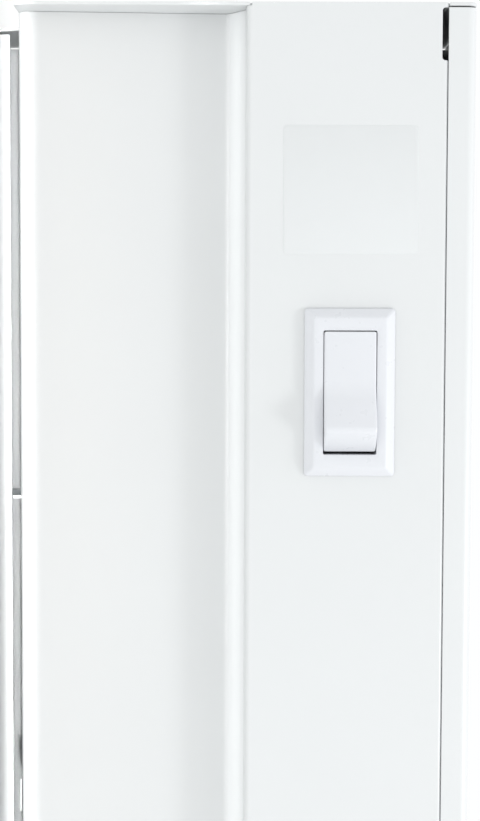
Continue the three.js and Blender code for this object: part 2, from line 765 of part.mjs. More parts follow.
function makeLoadBlade() {
  const drop = BLADES.load * Math.sin(ARM_TILT);
  const seat = ARM_PIVOT + drop + 1.4 + GAP + 0.5;
  const x = BLADES.load;
  const pad = behindPivot(x - 2.2, x + 2.2, seat, seat + 1, -2.4, 2.4);
  const blade = behindPivot(
    x - BLADE / 2,
    x + BLADE / 2,
    seat + 0.5,
    BLADE_TAIL,
    -BLADE_WIDTH / 2,
    BLADE_WIDTH / 2,
  );
  return join(pad, blade);
}

// An insulated push-on connector over the tail of a blade.
function makePushOn(x) {
  const near = BLADE_TAIL - 8;
  const far = BLADE_TAIL + 7;
  const boot = behindPivot(x - 2.6, x + 2.6, near, far, -4.4, 4.4);
  const slot = behindPivot(
    x - BLADE / 2 - GAP,
    x + BLADE / 2 + GAP,
    near - 2,
    BLADE_TAIL + GAP,
    -BLADE_WIDTH / 2 - GAP,
    BLADE_WIDTH / 2 + GAP,
  );
  return cut(boot, slot);
}

// ---- assembly: casing ----
add("back_panel", makeBackPanel(), enamel());
add("front_cover", makeFrontCover(), enamel());
add("end_cap_left", makeEndCap(-1), enamel());
add("end_cap_right", makeEndCap(1), enamel());
for (const [name, x, z] of CAP_SCREWS) {
  add(name, makeScrew(x, z, 2 * SHEET + 2 * GAP, 3.4, 1.7, 2.4), zincScrew());
}
add("rating_label", block(LEFT + 36, LEFT + 74, LABEL_DEPTH, LABEL_DEPTH + 0.3, 95, 135), labelFilm());

// ---- assembly: partitions and supports ----
add("compartment_floor_left", makeCompartmentFloor(LEFT + SHEET + GAP, BARRIER_LEFT - GAP), galvanised());
add(
  "compartment_floor_right",
  makeCompartmentFloor(BARRIER_RIGHT + SHEET + GAP, RIGHT - SHEET - GAP),
  galvanised(),
);
add("barrier_left", makeBarrier(BARRIER_LEFT, [ROD_HOLE, CHANNEL_HOLE]), galvanised());
add("barrier_right", makeBarrier(BARRIER_RIGHT, [ROD_HOLE, CHANNEL_HOLE, BULB_HOLE]), galvanised());
["left", "middle", "right"].forEach((place, i) => {
  const x = BRACKETS[i] + (FIN_PITCH + FIN_THICKNESS) / 2;
  add("element_bracket_" + place, makeBracket(x), galvanised());
  add("element_bushing_" + place, makeBushing(x), nylon());
  add("cover_clip_" + place, makeCoverClip(x), zincScrew());
});

// ---- assembly: heating element ----
add("fin_pack", makeFinPack(), aluminium());
add("element_sheath", makeSheath(), sheathSteel());
add("element_insulator_left", makeInsulator(-1), ceramic());
add("element_insulator_right", makeInsulator(1), ceramic());
add("element_pin_left", makePin(-1), platedBrass());
add("element_pin_right", makePin(1), platedBrass());
add("crimp_left", makeCrimp(-1), platedBrass());
add("crimp_right", makeCrimp(1), platedBrass());

// ---- assembly: overheat limit ----
add("limit_control", makeLimitBody(), phenolic());
add("limit_bulb", makeLimitBulb(), platedBrass());
add("bulb_clip_left", makeBulbClip(-110), galvanised());
add("bulb_clip_right", makeBulbClip(194), galvanised());

// ---- assembly: wiring ----
add("wire_channel", makeWireChannel(), galvanised());
add("entry_bushing", makeEntryBushing(), phenolic());
add("splice_line", makeWireNut(...NUTS.line), wire(0xc0452c));
add("splice_neutral", makeWireNut(...NUTS.neutral), wire(0xd9a21f));
add("splice_earth", makeWireNut(...NUTS.earth), wire(0x3f8a4a));
add("earth_screw", makeScrew(EARTH_X, EARTH_Z, 3.1, 3.6, 1.7, 2.9), wire(0x3f8a4a));

const earthLug = rodAlongDepth(EARTH_X, SHEET + GAP, SHEET + GAP + 1, EARTH_Z, 5, 14);
const earthLugNeck = block(
  EARTH_X - 1.5,
  EARTH_X + 1.5,
  SHEET + GAP,
  SHEET + GAP + 1,
  EARTH_Z,
  EARTH_Z + 11,
);
const earthLugHole = rodAlongDepth(EARTH_X, 0, 5, EARTH_Z, 2.1, 12);
add("earth_lug", cut(join(earthLug, earthLugNeck), earthLugHole), platedBrass());

const nutMouth = ([x, depth, z]) => [x - 8, depth, z];
const earthRun = [
  [EARTH_X, SHEET + GAP + 1.2, EARTH_Z + 11.4],
  [EARTH_X, SHEET + GAP + 1.2, EARTH_Z + 13],
  [EARTH_X - 1, 8, EARTH_Z + 17],
  [EARTH_X - 4, 16, NUTS.earth[2] + 1],
  nutMouth(NUTS.earth),
];
add("earth_lead", tube(earthRun, 1.1, 14), wire(0x3f8a4a));

const connectorTail = (x) => [SWITCH_X + x, PIVOT_DEPTH - BLADE_TAIL - 7 - GAP, SWITCH_Z];
const lineRun = [
  nutMouth(NUTS.line),
  [NUTS.line[0] + 12, NUTS.line[1], NUTS.line[2] + 2],
  [SWITCH_X - 14, 13, SWITCH_Z - 8],
  [SWITCH_X, PIVOT_DEPTH - BLADE_TAIL - 11, SWITCH_Z],
  connectorTail(BLADES.line),
];
add("lead_line", tube(lineRun, WIRE, 20), wire(0x26262a));

const loadRun = [
  connectorTail(BLADES.load),
  [SWITCH_X + BLADES.load, PIVOT_DEPTH - BLADE_TAIL - 10, SWITCH_Z],
  [SWITCH_X + 12, 16, SWITCH_Z - 2],
  [SWITCH_X + 13, 13, SWITCH_Z - 20],
  [SWITCH_X - 4, 20, ROD_HEIGHT + 8],
  [SWITCH_X - 9, ROD_DEPTH - 1, ROD_HEIGHT],
  [ROD_LEFT - 24, ROD_DEPTH, ROD_HEIGHT],
  [ROD_LEFT - 20 - GAP, ROD_DEPTH, ROD_HEIGHT],
];
add("lead_load", tube(loadRun, WIRE, 26), wire(0xa33a2c));

const limitRun = [
  [ROD_RIGHT + 20 + GAP, ROD_DEPTH, ROD_HEIGHT],
  [ROD_RIGHT + 25, ROD_DEPTH, ROD_HEIGHT],
  [ROD_RIGHT + 31, ROD_DEPTH, ROD_HEIGHT + 5],
  [ROD_RIGHT + 34, ROD_DEPTH, ROD_HEIGHT + 22],
  [LIMIT_X + 39, LIMIT_DEPTH + 16, LIMIT_Z - 8],
  [LIMIT_X + 36, LIMIT_DEPTH + 16, LIMIT_Z - 3],
  [LIMIT_X + 32 + GAP, LIMIT_DEPTH + 16, LIMIT_Z - 3],
];
add("lead_limit", tube(limitRun, WIRE, 22), wire(0xa33a2c));

const returnRun = [
  [LIMIT_X + 32 + GAP, LIMIT_DEPTH + 5, LIMIT_Z - 6],
  [LIMIT_X + 36, LIMIT_DEPTH + 5, LIMIT_Z - 6],
  [LIMIT_X + 40, LIMIT_DEPTH + 2, LIMIT_Z - 14],
  [LIMIT_X + 38, 12, ROD_HEIGHT - 8],
  [LIMIT_X + 26, CHANNEL_DEPTH + 1, CHANNEL_Z + 4],
  [BARRIER_RIGHT + 8, CHANNEL_DEPTH, CHANNEL_Z],
  [BARRIER_RIGHT - 12, CHANNEL_DEPTH, CHANNEL_Z],
  [BARRIER_LEFT + 14, CHANNEL_DEPTH, CHANNEL_Z],
  [BARRIER_LEFT - 8, CHANNEL_DEPTH, CHANNEL_Z],
  [BARRIER_LEFT - 34, 9, CHANNEL_Z + 7],
  [NUTS.neutral[0] + 22, 18, NUTS.neutral[2] - 6],
  nutMouth(NUTS.neutral),
];
add("lead_return", tube(returnRun, WIRE, 72), wire(0xe4e4e0));

// ---- assembly: switch ----
add("switch_housing", makeSwitchHousing(), whitePlastic());
add("switch_blade_line", makeLineBlade(), platedBrass());
add("switch_blade_load", makeLoadBlade(), platedBrass());
add("push_on_line", makePushOn(BLADES.line), wire(0xa8352d));
add("push_on_load", makePushOn(BLADES.load), wire(0xa8352d));

const rocker = new THREE.Group();
rocker.position.set(SWITCH_X, -PIVOT_DEPTH, SWITCH_Z);
rocker.rotation.set(0, 0, -ROCKER_TILT);
const rockerParts = new THREE.Group();
rockerParts.rotation.set(Math.PI, 0, 0);
rocker.add(rockerParts);
heater.add(rocker);
add("rocker", makeRocker(), whitePlastic(), rockerParts);
add("rocker_plunger", makePlunger(), nylon(), rockerParts);
add("plunger_spring", makeSpring(), zincScrew(), rockerParts);

const arm = new THREE.Group();
arm.position.set(SWITCH_X, -PIVOT_DEPTH + ARM_PIVOT, SWITCH_Z);
arm.rotation.set(0, 0, ARM_TILT);
const armParts = new THREE.Group();
armParts.rotation.set(Math.PI, 0, 0);
arm.add(armParts);
heater.add(arm);
add("contact_arm", makeContactArm(), platedBrass(), armParts);

// ---- the finished part, centred front to back on the origin ----
heater.updateMatrixWorld(true);
const extent = new THREE.Box3().setFromObject(heater, true);
heater.position.y = -(extent.min.y + extent.max.y) / 2;

export default heater;
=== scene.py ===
"""Looks of an electric baseboard heater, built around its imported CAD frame.

The heater is a hooded sheet-metal case with a stepped front cover, pressed end caps and a rocker
switch at its left end. X runs along it, the front faces -Y and Z is up. All lengths are metres.
Each sub-assembly is a class that builds and dresses its own pieces.
"""

from __future__ import annotations

import json
import logging
import math
from dataclasses import dataclass
from enum import Enum

import bmesh
import bpy
import numpy as np
from mathutils import Matrix, Vector

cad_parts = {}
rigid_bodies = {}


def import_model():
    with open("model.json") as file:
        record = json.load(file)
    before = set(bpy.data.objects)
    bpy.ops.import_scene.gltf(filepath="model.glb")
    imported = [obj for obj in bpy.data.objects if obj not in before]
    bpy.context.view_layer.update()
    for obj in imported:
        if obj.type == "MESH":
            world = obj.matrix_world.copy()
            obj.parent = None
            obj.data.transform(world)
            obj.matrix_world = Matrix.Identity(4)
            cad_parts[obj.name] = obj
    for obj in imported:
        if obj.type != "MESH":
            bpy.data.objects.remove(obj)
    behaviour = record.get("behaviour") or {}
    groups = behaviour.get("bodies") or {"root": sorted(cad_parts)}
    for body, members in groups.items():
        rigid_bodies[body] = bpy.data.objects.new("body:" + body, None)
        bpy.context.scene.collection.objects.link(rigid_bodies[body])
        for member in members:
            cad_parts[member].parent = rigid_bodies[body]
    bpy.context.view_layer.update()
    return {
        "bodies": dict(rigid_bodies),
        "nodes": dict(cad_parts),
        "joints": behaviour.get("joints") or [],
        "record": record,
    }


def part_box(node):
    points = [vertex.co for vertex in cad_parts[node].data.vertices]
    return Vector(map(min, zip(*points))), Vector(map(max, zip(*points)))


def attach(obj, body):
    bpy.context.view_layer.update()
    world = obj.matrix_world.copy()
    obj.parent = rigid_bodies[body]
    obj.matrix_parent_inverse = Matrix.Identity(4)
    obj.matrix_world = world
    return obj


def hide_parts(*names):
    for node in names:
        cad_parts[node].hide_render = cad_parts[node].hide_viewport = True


MM = 0.001
SHEET = 1.0 * MM
CUT_EDGE = 0.22 * MM
HAIR = 0.01 * MM
NOTHING = 1e-9
QUARTER_TURN = 0.5 * math.pi
HALF_TURN = math.pi
FULL_TURN = 2.0 * math.pi
WHITE = (1.0, 1.0, 1.0)
LOG = logging.getLogger("heater")


class Body(Enum):
    """The rigid bodies that pieces ride on."""

    CASE = "case"
    ROCKER = "rocker"
    ARM = "contact_arm"


class Slot(Enum):
    """The record's material slots."""

    ENAMEL = "enamel"
    GALVANISED = "galvanised_sheet"
    SPRING = "spring_strip"
    SCREW = "screw_zinc"
    FIN = "fin_aluminium"
    SHEATH = "sheath_steel"
    CERAMIC = "insulator_ceramic"
    BRASS = "plated_brass"
    NYLON = "nylon"
    PHENOLIC = "black_phenolic"
    WHITE_PLASTIC = "white_plastic"
    COPPER = "copper_bulb"
    LABEL = "label_film"
    WIRE_BLACK = "wire_black"
    WIRE_RED = "wire_red"
    WIRE_WHITE = "wire_white"
    WIRE_GREEN = "wire_green"
    SPLICE_RED = "splice_red"
    SPLICE_YELLOW = "splice_yellow"
    SPLICE_GREEN = "splice_green"
    SCREW_GREEN = "screw_green"
    PUSH_ON = "push_on_red"


# ---------------------------------------------------------------------------------------------
# Finishes
# ---------------------------------------------------------------------------------------------


class FinishTree:
    """A material's node tree, with short calls for the few nodes that the finishes share."""

    def __init__(self, name: str) -> None:
        """Makes an empty material with a Principled shader.

        Args:
            name: the material's name.
        """
        self.material = bpy.data.materials.new(name)
        self.material.use_nodes = True
        self.tree = self.material.node_tree
        self.shader = self.tree.nodes["Principled BSDF"]
        self.coordinates = self.tree.nodes.new("ShaderNodeTexCoord")

    def set(self, **values: object) -> None:
        """Sets shader sockets by name, with underscores for spaces."""
        for key, value in values.items():
            self.shader.inputs[key.replace("_", " ")].default_value = value

    def place(self, stretch: tuple[float, float, float]) -> bpy.types.NodeSocket:
        """Object coordinates stretched along each axis.

        Args:
            stretch: how many pattern units fit in one metre, for X, Y and Z.

        Returns:
            The vector socket.
        """
        mapping = self.tree.nodes.new("ShaderNodeMapping")
        mapping.inputs["Scale"].default_value = stretch
        self.tree.links.new(self.coordinates.outputs["Object"], mapping.inputs["Vector"])
        return mapping.outputs["Vector"]

    def noise(
        self,
        grain: float,
        detail: float,
        stretch: tuple[float, float, float] = (1.0, 1.0, 1.0),
    ) -> bpy.types.NodeSocket:
        """A noise field whose lumps are about one grain across.

        Args:
            grain: the size of a lump.
            detail: how many finer layers it has.
            stretch: a factor for each axis; below one it draws the lumps out along that axis.

        Returns:
            The value socket, about 0.5 on average.
        """
        node = self.tree.nodes.new("ShaderNodeTexNoise")
        node.inputs["Scale"].default_value = 1.0
        node.inputs["Detail"].default_value = detail
        scale = tuple(share / grain for share in stretch)
        self.tree.links.new(self.place(scale), node.inputs["Vector"])
        return node.outputs["Fac"]

    def cells(self, grain: float) -> bpy.types.NodeSocket:
        """Flat random patches.

        Args:
            grain: how far a patch reaches.

        Returns:
            The colour socket.
        """
        node = self.tree.nodes.new("ShaderNodeTexVoronoi")
        node.inputs["Scale"].default_value = 1.0
        node.inputs["Randomness"].default_value = 1.0
        self.tree.links.new(self.place((1 / grain, 1 / grain, 1 / grain)), node.inputs["Vector"])
        return node.outputs["Color"]

    def spread(
        self,
        field: bpy.types.NodeSocket,
        low: float,
        high: float,
        start: float = 0.3,
        end: float = 0.7,
    ) -> bpy.types.NodeSocket:
        """Maps a field from start..end to low..high, clamped.

        Args:
            field: the field.
            low: the result at the start.
            high: the result at the end.
            start: the field's value that gives the low result.
            end: the field's value that gives the high one.

        Returns:
            The value socket.
        """
        node = self.tree.nodes.new("ShaderNodeMapRange")
        node.inputs["From Min"].default_value = start
        node.inputs["From Max"].default_value = end
        node.inputs["To Min"].default_value = low
        node.inputs["To Max"].default_value = high
        self.tree.links.new(field, node.inputs["Value"])
        return node.outputs["Result"]

    def mix(
        self,
        share: bpy.types.NodeSocket,
        first: tuple[float, float, float],
        second: tuple[float, float, float],
    ) -> bpy.types.NodeSocket:
        """Mixes two colours by a field.

        Args:
            share: the field; it gives the first colour at 0 and the second at 1.
            first: the first colour.
            second: the second colour.

        Returns:
            The colour socket.
        """
        node = self.tree.nodes.new("ShaderNodeMix")
        node.data_type = "RGBA"
        self.tree.links.new(share, node.inputs["Factor"])
        node.inputs["A"].default_value = (*first, 1.0)
        node.inputs["B"].default_value = (*second, 1.0)
        return next(s for s in node.outputs if s.type == "RGBA")

    def colour(self, socket: bpy.types.NodeSocket) -> None:
        """Feeds the base colour."""
        self.tree.links.new(socket, self.shader.inputs["Base Color"])

    def roughness(self, socket: bpy.types.NodeSocket) -> None:
        """Feeds the roughness."""
        self.tree.links.new(socket, self.shader.inputs["Roughness"])

    def relief(self, *layers: tuple[bpy.types.NodeSocket, float]) -> None:
        """Feeds the normal from stacked height fields.

        Args:
            layers: pairs of a field from 0 to 1 and its height in metres.
        """
        last = None
        for field, height in layers:
            bump = self.tree.nodes.new("ShaderNodeBump")
            bump.inputs["Distance"].default_value = height
            bump.inputs["Strength"].default_value = 1.0
            self.tree.links.new(field, bump.inputs["Height"])
            if last is not None:
                self.tree.links.new(last, bump.inputs["Normal"])
            last = bump.outputs["Normal"]
        self.tree.links.new(last, self.shader.inputs["Normal"])


def shaded(colour: tuple[float, float, float], factor: float) -> tuple[float, float, float]:
    """A colour made lighter or darker by a factor."""
    return tuple(min(1.0, channel * factor) for channel in colour)


@dataclass(frozen=True)
class Enamel:
    """Baked white enamel: faint orange peel under a smooth gloss, slightly mottled."""

    name: str = "baked_enamel"
    colour: tuple[float, float, float] = (0.668, 0.684, 0.690)
    peel: float = 2.2 * MM
    peel_height: float = 0.010 * MM

    def make(self) -> bpy.types.Material:
        """Builds the material."""
        tree = FinishTree(self.name)
        mottle = tree.noise(38 * MM, 3.0)
        tree.colour(tree.mix(mottle, shaded(self.colour, 0.988), shaded(self.colour, 1.012)))
        tree.roughness(tree.spread(tree.noise(9 * MM, 3.0), 0.33, 0.41))
        tree.relief(
            (tree.noise(self.peel, 1.0), self.peel_height),
            (tree.noise(self.peel * 0.3, 1.0), self.peel_height * 0.12),
        )
        tree.set(IOR=1.5, Coat_Weight=0.15, Coat_Roughness=0.2)
        return tree.material


@dataclass(frozen=True)
class Moulding:
    """Moulded plastic with a fine spark-eroded texture."""

    name: str
    colour: tuple[float, float, float]
    gloss: float = 0.34
    grain: float = 0.45 * MM
    grain_height: float = 0.004 * MM
    flow: float = 0.02

    def make(self) -> bpy.types.Material:
        """Builds the material."""
        tree = FinishTree(self.name)
        cloud = tree.noise(14 * MM, 2.0)
        low, high = shaded(self.colour, 1 - self.flow), shaded(self.colour, 1 + self.flow)
        tree.colour(tree.mix(cloud, low, high))
        tree.roughness(tree.spread(tree.noise(3 * MM, 2.0), self.gloss - 0.03, self.gloss + 0.05))
        tree.relief((tree.noise(self.grain, 1.0), self.grain_height))
        tree.set(IOR=1.49)
        return tree.material


@dataclass(frozen=True)
class Galvanised:
    """Hot-dipped sheet: zinc crystals of different greys, each with its own roughness."""

    name: str = "galvanised_sheet"
    colour: tuple[float, float, float] = (0.60, 0.62, 0.63)
    crystal: float = 6 * MM

    def make(self) -> bpy.types.Material:
        """Builds the material."""
        tree = FinishTree(self.name)
        patches = tree.cells(self.crystal)
        split = tree.tree.nodes.new("ShaderNodeSeparateColor")
        tree.tree.links.new(patches, split.inputs["Color"])
        tree.colour(
            tree.mix(split.outputs["Red"], shaded(self.colour, 0.84), shaded(self.colour, 1.14))
        )
        tree.roughness(tree.spread(split.outputs["Green"], 0.34, 0.52, 0.0, 1.0))
        tree.relief((tree.noise(1.2 * MM, 3.0), 0.006 * MM))
        tree.set(Metallic=0.9)
        return tree.material


@dataclass(frozen=True)
class DrawnMetal:
    """Metal with fine lines left by rolling, drawing or turning."""

    name: str
    colour: tuple[float, float, float]
    lines: tuple[float, float, float] = (0.02, 1.0, 1.0)
    gloss: float = 0.3
    tarnish: float = 0.1

    def make(self) -> bpy.types.Material:
        """Builds the material."""
        tree = FinishTree(self.name)
        cloud = tree.noise(11 * MM, 3.0)
        dull = shaded(self.colour, 1 - self.tarnish)
        tree.colour(tree.mix(cloud, dull, shaded(self.colour, 1.03)))
        streaks = tree.noise(0.5 * MM, 3.0, self.lines)
        tree.roughness(tree.spread(streaks, self.gloss - 0.07, self.gloss + 0.1))
        tree.relief((streaks, 0.006 * MM))
        tree.set(Metallic=1.0)
        return tree.material


@dataclass(frozen=True)
class HeatedSteel:
    """Sheath steel, browned and blued by heat."""

    name: str = "heated_sheath"

    def make(self) -> bpy.types.Material:
        """Builds the material."""
        tree = FinishTree(self.name)
        cloud = tree.noise(16 * MM, 4.0)
        tree.colour(tree.mix(tree.spread(cloud, 0.0, 1.0), (0.20, 0.15, 0.11), (0.34, 0.33, 0.35)))
        tree.roughness(tree.spread(tree.noise(2 * MM, 3.0), 0.38, 0.6))
        tree.relief((tree.noise(0.8 * MM, 3.0), 0.008 * MM))
        tree.set(Metallic=0.9)
        return tree.material


@dataclass(frozen=True)
class LabelFilm:
    """Satin film, blank, a shade darker than the enamel under it."""

    name: str = "label_film"
    colour: tuple[float, float, float] = (0.662, 0.680, 0.686)

    def make(self) -> bpy.types.Material:
        """Builds the material."""
        tree = FinishTree(self.name)
        tree.colour(
            tree.mix(tree.noise(7 * MM, 2.0), shaded(self.colour, 0.99), shaded(self.colour, 1.01))
        )
        tree.roughness(tree.spread(tree.noise(1.5 * MM, 2.0), 0.42, 0.5))
        tree.relief((tree.noise(0.6 * MM, 2.0), 0.003 * MM))
        tree.set(IOR=1.48)
        return tree.material


FINISHES = {
    Slot.ENAMEL: Enamel(),
    Slot.GALVANISED: Galvanised(),
    Slot.SPRING: DrawnMetal("spring_strip", (0.68, 0.69, 0.70), gloss=0.26),
    Slot.SCREW: DrawnMetal("zinc_plate", (0.72, 0.73, 0.74), (1.0, 1.0, 1.0), gloss=0.28),
    Slot.FIN: DrawnMetal("fin_foil", (0.80, 0.81, 0.82), (1.0, 0.04, 1.0), gloss=0.32, tarnish=0.05),
    Slot.SHEATH: HeatedSteel(),
    Slot.CERAMIC: Moulding("steatite", (0.84, 0.81, 0.74), gloss=0.55, grain_height=0.012 * MM),
    Slot.BRASS: DrawnMetal("plated_brass", (0.76, 0.64, 0.38), gloss=0.3),
    Slot.NYLON: Moulding("natural_nylon", (0.80, 0.78, 0.71), gloss=0.48),
    Slot.PHENOLIC: Moulding("black_moulding", (0.028, 0.026, 0.025), gloss=0.45, flow=0.12),
    Slot.WHITE_PLASTIC: Moulding("switch_plastic", (0.672, 0.687, 0.718), gloss=0.30, flow=0.008),
    Slot.COPPER: DrawnMetal("dulled_copper", (0.70, 0.42, 0.28), gloss=0.36, tarnish=0.25),
    Slot.LABEL: LabelFilm(),
    Slot.WIRE_BLACK: Moulding("black_insulation", (0.028, 0.028, 0.032), gloss=0.42, flow=0.1),
    Slot.WIRE_RED: Moulding("red_insulation", (0.48, 0.055, 0.042), gloss=0.42, flow=0.06),
    Slot.WIRE_WHITE: Moulding("white_insulation", (0.78, 0.78, 0.75), gloss=0.42, flow=0.03),
    Slot.WIRE_GREEN: Moulding("green_insulation", (0.055, 0.28, 0.095), gloss=0.42, flow=0.06),
    Slot.SPLICE_RED: Moulding("red_shell", (0.56, 0.075, 0.05), gloss=0.38, flow=0.05),
    Slot.SPLICE_YELLOW: Moulding("yellow_shell", (0.78, 0.52, 0.055), gloss=0.38, flow=0.05),
    Slot.SPLICE_GREEN: Moulding("green_shell", (0.065, 0.31, 0.11), gloss=0.38, flow=0.05),
    Slot.SCREW_GREEN: DrawnMetal("green_zinc", (0.09, 0.33, 0.14), (1.0, 1.0, 1.0), gloss=0.34),
    Slot.PUSH_ON: Moulding("red_vinyl", (0.52, 0.055, 0.045), gloss=0.3, flow=0.05),
}


class Paintbox:
    """Makes each finish once and puts it on pieces and CAD nodes."""

    def __init__(self) -> None:
        """Starts with no finish made."""
        self.made: dict[Slot, bpy.types.Material] = {}

    def dress(self, piece: bpy.types.Object, slot: Slot) -> None:
        """Gives a piece or a CAD node the finish of one slot.

        Args:
            piece: the object to dress.
            slot: the slot whose finish it gets.
        """
        if slot not in self.made:
            self.made[slot] = FINISHES[slot].make()
        if not piece.material_slots:
            piece.data.materials.append(self.made[slot])
        for holder in piece.material_slots:
            holder.material = self.made[slot]


# ---------------------------------------------------------------------------------------------
# Surfaces
# ---------------------------------------------------------------------------------------------


def grid_faces(rows: int, columns: int, wrap: bool) -> np.ndarray:
    """The quads of a rows by columns grid of points, numbered row by row.

    Args:
        rows: number of rows of points.
        columns: number of points in a row.
        wrap: whether the last column joins the first.

    Returns:
        An array of quads with corners (r, c), (r, c+1), (r+1, c+1), (r+1, c).
    """
    r = np.arange(rows - 1)[:, None]
    c = np.arange(columns if wrap else columns - 1)[None, :]
    n = (c + 1) % columns
    here, above = r * columns, (r + 1) * columns
    return np.stack([here + c, here + n, above + n, above + c], axis=-1).reshape(-1, 4)


def make_piece(name: str, points: np.ndarray, faces: list[tuple[int, ...]]) -> bpy.types.Object:
    """Turns points and faces into a smooth-shaded object.

    Args:
        name: the piece's name.
        points: an array whose last axis is XYZ.
        faces: index tuples.

    Returns:
        The object, linked to the scene, at the origin.
    """
    mesh = bpy.data.meshes.new(name)
    mesh.from_pydata(points.reshape(-1, 3).tolist(), [], faces)
    mesh.polygons.foreach_set("use_smooth", np.ones(len(mesh.polygons), bool))
    mesh.update()
    piece = bpy.data.objects.new(name, mesh)
    bpy.context.scene.collection.objects.link(piece)
    return piece


def volume_of(points: np.ndarray, faces: list[tuple[int, ...]]) -> float:
    """Six times the signed volume inside the faces, positive when they face out.

    Each face is a fan of triangles from its first corner, and each triangle (a, b, c) adds the
    dot product of a with the cross product of b and c.

    Args:
        points: an array of XYZ rows.
        faces: index tuples.

    Returns:
        The signed sum.
    """
    total = 0.0
    groups: dict[int, list[tuple[int, ...]]] = {}
    for face in faces:
        groups.setdefault(len(face), []).append(face)
    for size, members in groups.items():
        corners = points[np.array(members)]
        for k in range(1, size - 1):
            cross = np.cross(corners[:, k], corners[:, k + 1])
            total += float(np.einsum("ij,ij->", corners[:, 0], cross))
    return total


Shell = tuple[np.ndarray, list[tuple[int, ...]]]


def closed_piece(name: str, shells: list[Shell]) -> bpy.types.Object:
    """Joins closed shells into one object, each turned so that its faces point out.

    Args:
        name: the piece's name.
        shells: pairs of points and faces.

    Returns:
        The object.
    """
    all_points, all_faces, count = [], [], 0
    for points, faces in shells:
        flat = points.reshape(-1, 3)
        if volume_of(flat, faces) < 0:
            faces = [tuple(reversed(face)) for face in faces]
        all_faces += [tuple(int(i) + count for i in face) for face in faces]
        all_points.append(flat)
        count += len(flat)
    return make_piece(name, np.concatenate(all_points), all_faces)


def ringed_shell(rings: np.ndarray, closed_ends: bool = True) -> Shell:
    """A closed body from rings of points: neighbours joined by quads, end rings filled flat.

    Args:
        rings: an array of (rings, points, 3).
        closed_ends: True fills the first and last ring, False joins the last ring to the first.

    Returns:
        The points and faces.
    """
    count, size = rings.shape[:2]
    faces = [tuple(face) for face in grid_faces(count, size, True).tolist()]
    if closed_ends:
        faces.append(tuple(range(size))[::-1])
        faces.append(tuple(range((count - 1) * size, count * size)))
    else:
        here = np.arange(size)
        there = (here + 1) % size
        base = (count - 1) * size
        joint = np.stack([base + here, base + there, there, here], axis=-1)
        faces += [tuple(face) for face in joint.tolist()]
    return rings, faces


def turned_shell(
    profile: np.ndarray,
    origin: tuple[float, float, float],
    axis: str,
    sides: int,
    closed_ends: bool = True,
) -> Shell:
    """A turned body: a profile of (along, radius) swung round an axis.

    Each point of the profile is at origin + along * axis + radius * (cos a, sin a).

    Args:
        profile: an array of (along, radius) rows; a zero radius becomes a ring a hair wide.
        origin: a point on the axis.
        axis: "x", "y" or "z".
        sides: how many points go round.
        closed_ends: False for a ring whose profile closes on itself.

    Returns:
        The points and faces.
    """
    angle = np.linspace(0.0, FULL_TURN, sides, endpoint=False)
    along = profile[:, 0][:, None] + 0.0 * angle
    radius = np.maximum(profile[:, 1], HAIR)[:, None]
    first, second = radius * np.cos(angle), radius * np.sin(angle)
    order = {"x": (along, first, second), "y": (second, along, first), "z": (first, second, along)}
    rings = np.stack(order[axis], axis=-1) + np.array(origin)
    return ringed_shell(rings, closed_ends)


def rod_profile(start: float, end: float, radius: float, edge: float) -> np.ndarray:
    """The (along, radius) profile of a round rod with both ends chamfered.

    Args:
        start: where the rod begins.
        end: where it ends.
        radius: its radius.
        edge: the size of its chamfers.

    Returns:
        The profile's rows.
    """
    rim = radius - edge
    near = [(start, 0.0), (start, rim), (start + edge, radius)]
    far = [(end - edge, radius), (end, rim), (end, 0.0)]
    return np.array(near + far)


def arc(
    centre: tuple[float, float], radius: float, start: float, end: float, steps: int
) -> np.ndarray:
    """Points of a circle from one angle to another: centre + radius * (cos a, sin a).

    Args:
        centre: the circle's middle.
        radius: its radius.
        start: the first angle in radians.
        end: the last angle.
        steps: how many points.

    Returns:
        The points.
    """
    angle = np.linspace(start, end, steps)
    return np.array(centre) + radius * np.stack([np.cos(angle), np.sin(angle)], axis=-1)


def bent_line(corners: np.ndarray, radii: np.ndarray, steps: int) -> np.ndarray:
    """An open line through corners, each inner corner replaced by an arc of its own radius.

    At each corner the arc starts radius * tan(turn / 2) before it, and its points are
    start + along * sin(a) * radius + across * (1 - cos(a)) * radius for a from 0 to the turn.

    Args:
        corners: an array of 2-D points.
        radii: one bend radius for each inner corner.
        steps: points on each arc.

    Returns:
        The points of the line.
    """
    parts = [corners[:1]]
    for before, here, after, radius in zip(corners[:-2], corners[1:-1], corners[2:], radii):
        into = (here - before) / np.linalg.norm(here - before)
        out = (after - here) / np.linalg.norm(after - here)
        turn = math.acos(float(np.clip(into @ out, -1, 1)))
        side = math.copysign(1.0, into[0] * out[1] - into[1] * out[0])
        across = side * np.array([-into[1], into[0]])
        start = here - into * radius * math.tan(turn / 2)
        angle = np.linspace(0, turn, steps)[:, None]
        parts.append(start + radius * (np.sin(angle) * into + (1 - np.cos(angle)) * across))
    parts.append(corners[-1:])
    return np.concatenate(parts)


def rounded_outline(corners: np.ndarray, radii: np.ndarray, steps: int) -> np.ndarray:
    """A closed outline through corners, each rounded to its own radius.

    Args:
        corners: an array of 2-D points.
        radii: one radius for each corner; zero keeps the corner sharp.
        steps: points on each arc.

    Returns:
        The points, without repeating the first.
    """
    count = len(corners)
    parts = []
    for i in range(count):
        here = corners[i]
        if radii[i] <= 0:
            parts.append(here[None])
            continue
        ring = np.stack([corners[i - 1], here, corners[(i + 1) % count]])
        parts.append(bent_line(ring, radii[i : i + 1], steps)[1:-1])
    return np.concatenate(parts)


